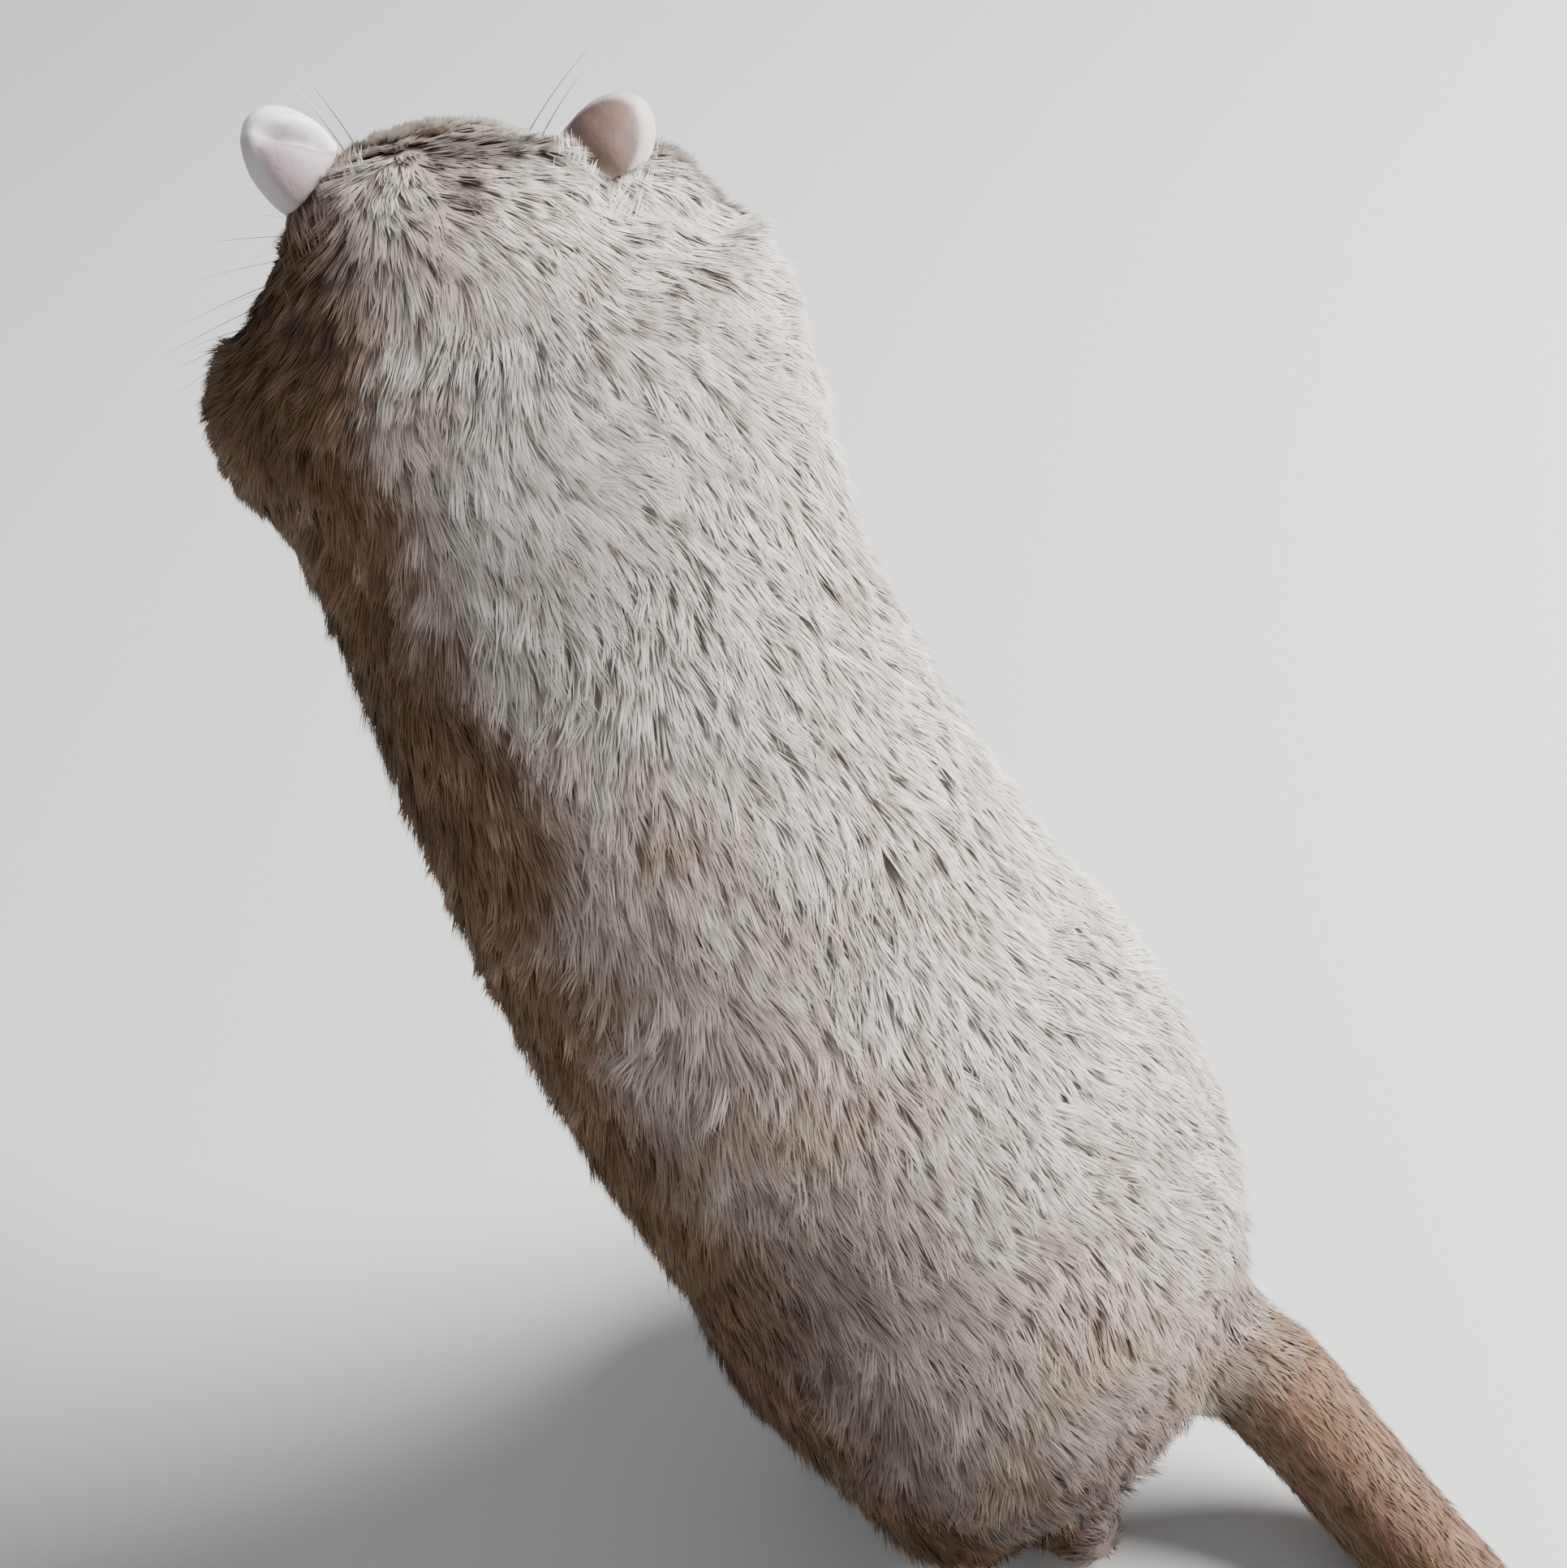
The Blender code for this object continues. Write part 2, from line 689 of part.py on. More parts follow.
# Ear: half an ellipsoid hollowed from the front into a cup, its base trimmed by the head
def make_ear(side, room):
    up = mirrored(EAR_AIM, side).normalized()
    face = mirrored(EAR_FACE, side)
    face = (face - up * face.dot(up)).normalized()
    turn = Matrix((face.cross(up), face, up)).transposed().to_4x4()
    frame = HEAD_FRAME @ Matrix.Translation(mirrored(EAR, side)) @ turn
    ear = ball("ear", (0, 0, 0), EAR_SIZE, frame)
    hollow = grown(EAR_SIZE, -EAR_THICK)
    front = Matrix.Translation((0, EAR_SIZE[1] + EAR_RIM, 0))
    wide = EAR_SIZE[2] * 4
    block = box("front", (wide, EAR_SIZE[1] * 2, wide), frame @ front)
    subtract(ear, [ball("hollow", (0, EAR_RIM, 0), hollow, frame), block])
    ear = melt("ear", [ear], EAR_VOXEL, SMALL_ROUNDS, EAR_TRIANGLES)
    return subtract(ear, [duplicate(room, "cutter")])


# Paw: a palm tube and its digits melted together, then a claw set into each digit's end
def make_paw(palm, digits, claw, voxel, triangles):
    pieces = [tube("palm", palm)]
    claws = []
    for path in digits:
        pieces.append(tube("digit", path, steps=DIGIT_STEPS))
        claws.append(make_claw(path, claw))
    paw = melt("paw", pieces, voxel, SMALL_ROUNDS, triangles)
    return fuse(paw, claws)


def make_claw(path, claw):
    length, radius, droop = claw
    end = Vector(path[-1][:3])
    way = (end - Vector(path[-2][:3])).normalized()
    way = (way + Vector((0, 0, -droop))).normalized()
    bm = bmesh.new()
    bmesh.ops.create_cone(
        bm,
        cap_ends=True,
        segments=CLAW_SEGMENTS,
        radius1=radius,
        radius2=radius * CLAW_TIP,
        depth=length,
    )
    turn = way.to_track_quat("Z", "Y").to_matrix().to_4x4()
    place = Matrix.Translation(end + way * length * CLAW_SHOWS)
    bmesh.ops.transform(bm, matrix=place @ turn, verts=bm.verts)
    mesh = bpy.data.meshes.new("claw")
    bm.to_mesh(mesh)
    bm.free()
    return add_object("claw", mesh)


# Digits fan out from the palm's end: each is given by its offset across the paw and its reach
def fan(palm, offsets, radius, spread, drop_by, side):
    end = Vector(palm[-1][:3])
    before = Vector(palm[-2][:3])
    ahead = (end - before).normalized()
    ahead.z = 0
    ahead.normalize()
    across = ahead.cross(Vector((0, 0, 1))) * side
    paths = []
    for offset, reach in offsets:
        start = end - ahead * radius + across * offset * DIGIT_ROOT_ACROSS
        middle = end + ahead * reach * DIGIT_MIDDLE + across * offset * (1 + spread / 2)
        finish = end + ahead * reach + across * offset * (1 + spread)
        middle.z -= drop_by * DIGIT_MIDDLE_DROP
        finish.z -= drop_by
        rows = []
        for point, share in zip((start, middle, finish), DIGIT_THINS):
            rows.append((*point, radius * share))
        paths.append(rows)
    return paths


def make_forepaw(side):
    palm = fore_path(FOREPAW_PALM, side)
    digits = fan(palm, FORE_DIGITS, FORE_DIGIT_RADIUS, FORE_SPREAD, FORE_DIGIT_DROP, side)
    return make_paw(palm, digits, FORE_CLAW, PAW_VOXEL, PAW_TRIANGLES)


def make_hindfoot(side):
    palm = sole_path(side)
    digits = fan(palm, HIND_DIGITS, HIND_DIGIT_RADIUS, HIND_SPREAD, HIND_DIGIT_DROP, side)
    foot = make_paw(palm, digits, HIND_CLAW, FOOT_VOXEL, FOOT_TRIANGLES)
    return subtract(foot, [floor_block()])


# Tail: one tube, its underside flat where it lies on the floor, parted by planes
def tail_plane(at):
    rows = smooth_rows(TAIL, TUBE_STEPS)
    index = round(at * TUBE_STEPS)
    here = Vector(rows[index][:3])
    ahead = Vector(rows[index + 1][:3])
    return here, (ahead - here).normalized()


def make_tail():
    whole = tube("tail", TAIL, resolution=4)
    subtract(whole, [floor_block()])
    root, middle, tip = (tail_plane(at) for at in TAIL_CUTS)
    return (
        keep_below(keep_above(duplicate(whole, "root"), root), middle),
        keep_below(keep_above(duplicate(whole, "middle"), middle), tip),
        fuse(keep_above(whole, tip), tuft_locks()),
    )


# Tuft: flat locks that taper, fan over the top and sides of the tail's end and lean outwards
def tuft_locks():
    draw = random.Random(LOCK_SEED)
    locks = []
    for at, count, first in TUFT:
        here, ahead = tail_plane(at)
        radius = smooth_rows(TAIL, TUBE_STEPS)[round(at * TUBE_STEPS)][3]
        across = ahead.cross(Vector((0, 0, 1))).normalized()
        for k in range(count):
            stray = draw.uniform(-LOCK_STRAYS, LOCK_STRAYS)
            spread = (TUFT_FAN * (k + 0.5) / count + first + stray) % TUFT_FAN
            angle = math.radians(spread - (TUFT_FAN - 180) / 2)
            out = across * math.cos(angle) + across.cross(ahead) * math.sin(angle)
            length = LOCK_LENGTH * draw.uniform(*LOCK_LENGTHS)
            locks.append(make_lock(here + out * radius * LOCK_BED, ahead, out, length))
    return locks


def make_lock(root, ahead, out, length):
    across = ahead.cross(out)
    rings = []
    for along, share in LOCK_FORM:
        centre = root + (ahead + out * LOCK_LIFT * (1 - along / 2)) * length * along
        wide = across * LOCK_WIDTH * share / 2
        thick = out * LOCK_THICK * share / 2
        ring = [centre + wide, centre + thick, centre - wide, centre - thick]
        rings.append([Vector((p.x, p.y, max(p.z, FLOOR + GAP))) for p in ring])
    return skin_rings("lock", rings)


# Clears the melted tail stub from the rump past the plane where the tail begins
def trim_stub(body):
    point, way = tail_plane(TAIL_CUTS[0])
    turn = way.to_track_quat("Z", "Y").to_matrix().to_4x4()
    centre = point + way * (STUB_BLOCK[2] / 2 - GAP / 2)
    return subtract(body, [box("stub", STUB_BLOCK, Matrix.Translation(centre) @ turn)])


def build():
    skin = head_skin()
    head = make_head(skin)
    room = head_room(skin)
    drop(skin)
    body = keep_below(trim_stub(whole_body()), HEAD_PLANE)
    for side, word in zip(SIDES, ("left", "right")):
        arm = make_arm(side)
        leg = make_leg(side)
        palm = tube("palm_room", fore_path(FOREPAW_PALM, side), PAW_ROOM)
        sole = tube("sole_room", sole_path(side), PAW_ROOM)
        rooms = [grow(duplicate(limb, "limb_room"), GAP) for limb in (arm, leg)]
        subtract(body, [*rooms, duplicate(palm, "cutter"), duplicate(sole, "cutter")])
        subtract(arm, [duplicate(room, "cutter"), palm])
        subtract(leg, [sole])
        paint(arm, "foreleg_" + word, "fur_silver")
        paint(leg, "hindleg_" + word, "fur_silver")
        paint(make_forepaw(side), "forepaw_" + word, "skin_pink")
        paint(make_hindfoot(side), "hindfoot_" + word, "skin_pink")
        paint(make_eye(side), "eye_" + word, "eye_black")
        paint(make_ear(side, room), "ear_" + word, "skin_pink")
    drop(room)
    paint(head, "head", "fur_silver")
    paint(keep_above(duplicate(body, "neck"), NECK_PLANE), "neck", "fur_silver")
    keep_below(body, NECK_PLANE)
    paint(keep_above(duplicate(body, "chest"), CHEST_PLANE), "chest", "fur_silver")
    keep_below(body, CHEST_PLANE)
    paint(keep_above(duplicate(body, "loin"), RUMP_PLANE), "loin", "fur_silver")
    paint(keep_below(body, RUMP_PLANE), "rump", "fur_silver")
    for obj, name in zip(make_tail(), ("tail_root", "tail_mid", "tail_tip")):
        paint(obj, name, "tail_brown")


# Stands the model on Z = 0 with its box centred on the origin, and turns millimetres to metres
def settle():
    corners = [vert.co for obj in NODES for vert in obj.data.vertices]
    low = Vector(min(co[axis] for co in corners) for axis in range(3))
    high = Vector(max(co[axis] for co in corners) for axis in range(3))
    base = Vector(((low.x + high.x) / 2, (low.y + high.y) / 2, low.z))
    for obj in NODES:
        obj.data.transform(Matrix.Scale(MM, 4) @ Matrix.Translation(-base))


PART = clear_scene()
NODES = []
HEAD_FRAME = head_matrix()
build()
settle()
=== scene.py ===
import math

import bpy
import numpy as np
from mathutils import Matrix, Vector
from mathutils.kdtree import KDTree


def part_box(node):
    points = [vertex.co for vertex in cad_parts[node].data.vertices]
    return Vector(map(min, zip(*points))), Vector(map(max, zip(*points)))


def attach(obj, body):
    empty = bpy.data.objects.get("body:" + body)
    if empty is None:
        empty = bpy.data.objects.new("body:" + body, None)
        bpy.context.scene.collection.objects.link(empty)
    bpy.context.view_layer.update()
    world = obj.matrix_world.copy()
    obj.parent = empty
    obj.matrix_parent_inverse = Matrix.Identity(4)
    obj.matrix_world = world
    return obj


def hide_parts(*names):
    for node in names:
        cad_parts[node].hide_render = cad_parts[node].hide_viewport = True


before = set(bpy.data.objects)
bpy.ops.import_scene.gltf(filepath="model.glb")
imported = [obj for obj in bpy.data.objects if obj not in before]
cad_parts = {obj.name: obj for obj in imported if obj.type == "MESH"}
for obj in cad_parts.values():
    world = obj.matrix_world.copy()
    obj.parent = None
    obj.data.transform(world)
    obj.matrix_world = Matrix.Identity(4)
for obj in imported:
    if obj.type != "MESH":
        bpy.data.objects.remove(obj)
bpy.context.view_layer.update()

# Camera. It looks down on the back from behind the left hip, turned a little, as the picture was
# taken. The left eye in the solids tells where the modelling's own zero point lies.
MM = 0.001
HEAD_CENTRE = Vector((2.4, 25.5, 100.4)) * MM
EYE = Vector((7.5, 10.2, 3.4)) * MM
HEAD_TURNS = (("Z", -31), ("X", -15), ("Y", 10))


def on_side(place, side):
    return Vector((place[0] * side, place[1], place[2]))


def turned_by(turns):
    matrix = Matrix.Identity(3)
    for axis, angle in turns:
        matrix = matrix @ Matrix.Rotation(math.radians(angle), 3, axis)
    return matrix


head_turn = turned_by(HEAD_TURNS)
eye_low, eye_high = (Vector(corner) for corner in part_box("eye_left"))
HOME = (eye_low + eye_high) / 2 - head_turn @ on_side(EYE, -1) - HEAD_CENTRE
head_frame = Matrix.Translation(HOME + HEAD_CENTRE) @ head_turn.to_4x4()

CAMERA_PLACE = Vector((-69.75, -95.03, 176.05)) * MM
# Round the back, down from level by 41 degrees, and a roll
CAMERA_TURNS = (("Z", -37), ("X", 90 - 41), ("Z", -10))
SENSOR_WIDTH = 36
FOCAL_SHARE = 3000 / 1932
NEAREST_SEEN = 0.005

camera_turn = turned_by(CAMERA_TURNS)
camera_up = camera_turn @ Vector((0, 1, 0))
camera_data = bpy.data.cameras.new("camera")
camera_data.sensor_width = SENSOR_WIDTH
camera_data.lens = SENSOR_WIDTH * FOCAL_SHARE
camera_data.clip_start = NEAREST_SEEN
camera = bpy.data.objects.new("camera", camera_data)
camera.matrix_world = Matrix.Translation(HOME + CAMERA_PLACE) @ camera_turn.to_4x4()
bpy.context.scene.collection.objects.link(camera)
bpy.context.scene.camera = camera

# Floor and light. A plain pale sheet, a large soft light on the animal's right and above, and a
# weak pale sky that fills the other side.
FLOOR_SIZE = 3.0
FLOOR_COLOUR = (0.62, 0.62, 0.61, 1.0)
KEY_PLACE = (0.42, -0.28, 0.42)
KEY_AIM = (0, 0, 0.05)
KEY_SIZE = 0.34
KEY_POWER = 19.0
SKY_COLOUR = (0.86, 0.88, 0.92, 1.0)
SKY_STRENGTH = 0.5


def new_material(name, roughness, specular=0.5):
    material = bpy.data.materials.new(name)
    material.use_nodes = True
    shader = material.node_tree.nodes["Principled BSDF"]
    shader.inputs["Roughness"].default_value = roughness
    shader.inputs["Specular IOR Level"].default_value = specular
    return material, material.node_tree, shader


floor_pale, _, floor_shader = new_material("floor_pale", 0.9)
floor_shader.inputs["Base Color"].default_value = FLOOR_COLOUR
bpy.ops.object.select_all(action="DESELECT")
bpy.ops.mesh.primitive_plane_add(size=FLOOR_SIZE)
floor = bpy.context.active_object
floor.name = "floor"
floor.data.materials.append(floor_pale)

key_data = bpy.data.lights.new("key", "AREA")
key_data.shape = "DISK"
key_data.size = KEY_SIZE
key_data.energy = KEY_POWER
key = bpy.data.objects.new("key", key_data)
key.location = KEY_PLACE
key.rotation_euler = (Vector(KEY_AIM) - Vector(KEY_PLACE)).to_track_quat("-Z", "Y").to_euler()
bpy.context.scene.collection.objects.link(key)

sky = bpy.data.worlds.new("sky")
sky.use_nodes = True
sky_light = sky.node_tree.nodes["Background"]
sky_light.inputs["Color"].default_value = SKY_COLOUR
sky_light.inputs["Strength"].default_value = SKY_STRENGTH
bpy.context.scene.world = sky

# Skin. One thin skin over the whole animal, hidden by the coat but for the nose, lips, soles and
# digits. It is melted from copies of the solids and the eyeballs, relaxed, then drawn in by the
# depth of the coat at each place.
FLESH = (
    "head", "neck", "chest", "loin", "rump", "foreleg_left", "foreleg_right", "hindleg_left",
    "hindleg_right", "forepaw_left", "forepaw_right", "hindfoot_left", "hindfoot_right",
)
EYE_SOLIDS = ("eye_left", "eye_right")
# Places of the body: depth of the coat, hair length, hair radius, all in millimetres
AREAS = {
    "head": (1.2, 3.2, 0.12),
    "neck": (1.7, 4.0, 0.14),
    "chest": (1.7, 4.0, 0.14),
    "loin": (1.8, 4.1, 0.14),
    "rump": (1.9, 4.3, 0.145),
    "foreleg": (0.9, 2.5, 0.12),
    "hindleg": (1.5, 3.7, 0.14),
    "forepaw": (0.1, 0.9, 0.06),
    "hindfoot": (0.15, 1.5, 0.08),
    "tail": (0.25, 2.1, 0.085),
}
AREA_NAMES = list(AREAS)
TAIL = (
    (9.0, -17.0, 20.0, 5.6), (14.4, -21.6, 19.0, 5.3), (17.2, -25.6, 15.8, 5.0),
    (18.6, -29.2, 11.4, 4.8), (19.2, -33.2, 7.4, 4.6), (18.6, -39.0, 5.0, 4.4),
    (16.0, -50.0, 4.1, 4.2), (10.6, -64.0, 3.7, 3.9), (4.4, -78.0, 3.3, 3.5),
    (0.6, -90.0, 2.9, 2.9), (-0.6, -98.0, 2.4, 1.8),
)
# Middle line of the trunk with its half width
TRUNK_LINE = (
    (7.4, -18.8, 13.4, 12.6), (6.8, -16.8, 19.0, 18.2), (5.6, -12.5, 27.5, 21.2),
    (4.4, -7.0, 40.0, 21.9), (1.5, 0.0, 54.0, 20.6), (0.1, 6.0, 67.0, 19.1),
    (0.2, 12.0, 79.0, 18.0), (1.7, 16.5, 87.0, 18.0), (2.4, 20.0, 94.0, 18.5),
    (2.2, 22.9, 100.0, 17.5), (2.6, 24.3, 104.5, 14.0),
)
BREAST_TURN = -28
# Solids swell by these depths before the melt, so that seams and eye sockets close
SEAM_FILL = 0.35
SOCKET_FILL = 0.35
UNFILLED = ("head", "forepaw", "hindfoot")
# These join without a step where one meets the next
SOFT_AREAS = ("neck", "chest", "loin", "rump", "foreleg", "hindleg")
SKIN_VOXEL = 0.34
SKIN_TRIANGLES = 150000
TAIL_SIDES = 24
SKIN_ROUNDS = 45
COAT_INSET = 0.92
# From the brow to the nose, the coat's depth, length and hair radius shrink to these shares
FACE_FROM, FACE_TO = 5.0, 19.0
FACE_DEPTH, FACE_LENGTH, FACE_RADIUS = 0.32, 0.384, 0.55


def home_points(rows):
    return np.array([row[:3] for row in rows]) * MM + np.array(HOME)


def points_triangles(mesh):
    points = np.empty(len(mesh.vertices) * 3)
    mesh.vertices.foreach_get("co", points)
    mesh.calc_loop_triangles()
    triangles = np.empty(len(mesh.loop_triangles) * 3, dtype=np.int64)
    mesh.loop_triangles.foreach_get("vertices", triangles)
    return points.reshape(-1, 3), triangles.reshape(-1, 3)


# Points and triangles of a solid, with the doubles at its loose corners merged
def cad_copy(name):
    places, corners = points_triangles(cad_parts[name].data)
    points, back = np.unique(np.round(places, 7), axis=0, return_inverse=True)
    triangles = back.reshape(-1)[corners]
    sound = (triangles[:, 0] != triangles[:, 1]) & (triangles[:, 1] != triangles[:, 2])
    return points, triangles[sound & (triangles[:, 0] != triangles[:, 2])]


def unit(vectors):
    length = np.linalg.norm(vectors, axis=1, keepdims=True)
    return vectors / np.maximum(length, 1e-12)


def surface_normals(points, triangles):
    first, second, third = (points[triangles[:, k]] for k in range(3))
    across = np.cross(second - first, third - first)
    total = np.zeros_like(points)
    for k in range(3):
        for axis in range(3):
            total[:, axis] += np.bincount(triangles[:, k], across[:, axis], len(points))
    return unit(total)


# A smooth line through all of the rows, with its radii where the rows hold them
def smooth_path(rows, steps):
    rows = np.array(rows, dtype=float)
    padded = np.vstack([2 * rows[0] - rows[1], rows, 2 * rows[-1] - rows[-2]])
    out = []
    for i in range(1, len(padded) - 2):
        a, b, c, d = padded[i - 1:i + 3]
        for step in range(steps):
            t = step / steps
            square = (2 * a - 5 * b + 4 * c - d) * t * t
            cube = (3 * b - a - 3 * c + d) * t ** 3
            out.append(0.5 * (2 * b + (c - a) * t + square + cube))
    out.append(rows[-1])
    return np.array(out)


# A closed round tube along a path, its ends drawn to the path's own ends
def tube_mesh(path, radii, sides):
    ahead = unit(np.gradient(path, axis=0))
    across = unit(np.cross(ahead, np.array((0.1, 0.0, 1.0))))
    up = np.cross(across, ahead)
    angles = np.linspace(0, 2 * math.pi, sides, endpoint=False)
    rings = (
        path[:, None, :]
        + (across[:, None, :] * np.cos(angles)[None, :, None]
           + up[:, None, :] * np.sin(angles)[None, :, None]) * radii[:, None, None]
    )
    points = np.vstack([rings.reshape(-1, 3), path[0], path[-1]])
    faces = []
    for row in range(len(path) - 1):
        for k in range(sides):
            j = (k + 1) % sides
            low, high = row * sides, (row + 1) * sides
            faces += [(low + k, low + j, high + j), (low + k, high + j, high + k)]
    first, last = len(points) - 2, len(points) - 1
    top = (len(path) - 1) * sides
    for k in range(sides):
        j = (k + 1) % sides
        faces += [(first, j, k), (last, top + k, top + j)]
    return points, np.array(faces)


# Several meshes as one
def joined(parts):
    count, all_points, all_triangles = 0, [], []
    for points, triangles in parts:
        all_points.append(points)
        all_triangles.append(triangles + count)
        count += len(points)
    return np.vstack(all_points), np.vstack(all_triangles)


def triangle_object(name, points, triangles):
    mesh = bpy.data.meshes.new(name)
    mesh.vertices.add(len(points))
    mesh.vertices.foreach_set("co", np.ascontiguousarray(points, dtype=np.float32).reshape(-1))
    mesh.loops.add(triangles.size)
    mesh.loops.foreach_set("vertex_index", triangles.reshape(-1).astype(np.int32))
    mesh.polygons.add(len(triangles))
    mesh.polygons.foreach_set("loop_start", np.arange(len(triangles), dtype=np.int32) * 3)
    mesh.update(calc_edges=True)
    mesh.validate()
    obj = bpy.data.objects.new(name, mesh)
    bpy.context.scene.collection.objects.link(obj)
    return obj


def pick(obj):
    bpy.ops.object.select_all(action="DESELECT")
    bpy.context.view_layer.objects.active = obj
    obj.select_set(True)


def finish_modifier(obj, modifier):
    pick(obj)
    bpy.ops.object.modifier_apply(modifier=modifier.name)


def melt(obj, voxel):
    modifier = obj.modifiers.new("melt", "REMESH")
    modifier.mode = "VOXEL"
    modifier.voxel_size = voxel * MM
    finish_modifier(obj, modifier)


def nearest_tree(places):
    tree = KDTree(len(places))
    for index, place in enumerate(places):
        tree.insert(place, index)
    tree.balance()
    return tree


# Each value drawn toward the mean of its neighbours, round after round
def relax(field, edges, weight, rounds):
    count = len(field)
    near = np.bincount(edges.reshape(-1), minlength=count)
    near = np.maximum(near, 1)
    field = field.reshape(count, -1).astype(float)
    share = np.asarray(weight, dtype=float).reshape(-1, 1)
    for _ in range(rounds):
        total = np.empty_like(field)
        for axis in range(field.shape[1]):
            column = field[:, axis]
            total[:, axis] = np.bincount(edges[:, 0], column[edges[:, 1]], count)
            total[:, axis] += np.bincount(edges[:, 1], column[edges[:, 0]], count)
        field += (total / near[:, None] - field) * share
    return field


def spread(mask, rounds):
    return relax(mask.astype(float), edges, 0.5, rounds)[:, 0]


def step_between(low, high, value):
    share = np.clip((np.asarray(value) - low) / (high - low), 0, 1)
    return share * share * (3 - 2 * share)


def mesh_arrays(obj):
    points, triangles = points_triangles(obj.data)
    edges = np.empty(len(obj.data.edges) * 2, dtype=np.int64)
    obj.data.edges.foreach_get("vertices", edges)
    return points, edges.reshape(-1, 2), triangles


def placed(points, matrix):
    turn = np.array(matrix)
    return points @ turn[:3, :3].T + turn[:3, 3]


def in_head(points):
    return placed(points, head_frame.inverted()) / MM


tail_rows = smooth_path(TAIL, 8)
tail_path = home_points(tail_rows)

solids, marks = [], []
for name in (*FLESH, *EYE_SOLIDS):
    kind = name.split("_")[0]
    fill = 0.0 if kind in UNFILLED else SOCKET_FILL if kind == "eye" else SEAM_FILL
    points, triangles = cad_copy(name)
    solids.append((points + surface_normals(points, triangles) * fill * MM, triangles))
    marks.append(np.full(len(points), AREA_NAMES.index("head" if kind == "eye" else kind)))
solids.append(tube_mesh(tail_path, tail_rows[:, 3] * MM, TAIL_SIDES))
marks.append(np.full(len(solids[-1][0]), AREA_NAMES.index("tail")))
flesh_points, flesh_triangles = joined(solids)
skin = triangle_object("skin", flesh_points, flesh_triangles)
melt(skin, SKIN_VOXEL)

points, edges, triangles = mesh_arrays(skin)
flesh_tree = nearest_tree(flesh_points)
area_of = np.concatenate(marks)[[flesh_tree.find(place)[1] for place in points]]
area = {name: area_of == index for index, name in enumerate(AREA_NAMES)}
soft = spread(np.any([area[name] for name in SOFT_AREAS], axis=0), 12)
points = relax(points, edges, 0.12 + 0.5 * soft, SKIN_ROUNDS)

head_places = in_head(points)
on_head = spread(area["head"], 20)
tail_share = spread(area["tail"], 14)
face = step_between(FACE_FROM, FACE_TO, head_places[:, 1]) * on_head
fields = relax(np.array(list(AREAS.values()))[area_of], edges, 0.5, 60)
for column, share in enumerate((FACE_DEPTH, FACE_LENGTH, FACE_RADIUS)):
    fields[:, column] *= 1 - (1 - share) * face
normals = surface_normals(points, triangles)
points = points - normals * fields[:, :1] * COAT_INSET * MM
points = relax(points, edges, 0.5 * soft, 12)
points[:, 2] = np.maximum(points[:, 2], 0.0)

# Face, in millimetres of the head's own frame: pads of the upper lip raised, then the mouth, the
# groove under the nose and the nostrils cut, each with its half width and depth
MUZZLE_PAD = ((3.4, 24.0, -2.4), (4.2, 21.6, -2.9), (4.8, 19.0, -3.6))
PAD_REACH, PAD_HEIGHT = 2.3, 0.8
MOUTH = (
    (0.0, 26.4, -4.4), (1.8, 25.0, -4.9), (3.4, 22.6, -5.3), (4.3, 20.0, -5.9), (4.7, 17.6, -6.9),
)
PHILTRUM = ((0.0, 27.4, -1.4), (0.0, 27.2, -3.0), (0.0, 26.6, -4.4))
NOSTRIL = ((0.75, 27.4, -0.4), (1.3, 27.0, -0.2), (1.8, 26.3, -0.5))
CUTS = ((MOUTH, 0.5, 0.75), (PHILTRUM, 0.35, 0.5), (NOSTRIL, 0.42, 0.8))
FACE_MIDDLE, FACE_REACH = (0, 20, 0), 14.0


def spot(places, middle, radius):
    return np.exp(-np.sum((places - np.array(middle)) ** 2, axis=1) / radius ** 2)


def near_curve(places, rows):
    best = np.full(len(places), np.inf)
    for row in smooth_path(rows, 6):
        best = np.minimum(best, np.linalg.norm(places - row, axis=1))
    return best


def carve(points, normals, rows, radius, depth):
    places = in_head(points)
    places[:, 0] = np.abs(places[:, 0])
    reach = np.exp(-(near_curve(places, rows) / radius) ** 2)
    reach *= step_between(12.0, 16.0, places[:, 1])
    return points - normals * (reach * depth * MM)[:, None]


SIDES = {-1: "left", 1: "right"}
# The skin stands fuller behind the root of each ear, most at the right
EAR = Vector((9.3, -3.2, 8.7)) * MM
EAR_ROOT = Vector((-3.4, -1.6, -0.6))
EAR_ROOT_REACH = 2.9
EAR_ROOT_SWELL = {-1: 0.6, 1: 1.7}
# The skin closes over each eyeball as lids round an opening
EYE_AIM = (0.86, 0.34, 0.38)
EYE_RADIUS = 3.15
LID_OPEN = 2.6
LID_FLAT = 0.17
LID_OVER = 0.14
LID_UNDER = 0.6
LID_EDGE = 0.3
LID_REACH = 4.5


def eye_axes():
    for side in SIDES:
        middle = head_frame @ on_side(EYE, side)
        aim = (head_turn @ on_side(EYE_AIM, side)).normalized()
        yield side, middle, aim


def eye_reach(points, middle, aim):
    offsets = (points - np.array(middle)) / MM
    along = offsets @ np.array(aim)
    away = offsets - along[:, None] * np.array(aim)
    return offsets, along, away, np.linalg.norm(away, axis=1)


def lid_frame(aim):
    along_head = head_turn @ Vector((0, 1, -0.15))
    long_way = (along_head - aim * along_head.dot(aim)).normalized()
    return long_way, aim.cross(long_way)


# Share of a round opening that the lids leave in each direction
def lid_share(away, aim):
    high_way = np.array(lid_frame(aim)[1])
    rise = unit(away) @ high_way
    return 1 - LID_FLAT * rise ** 2


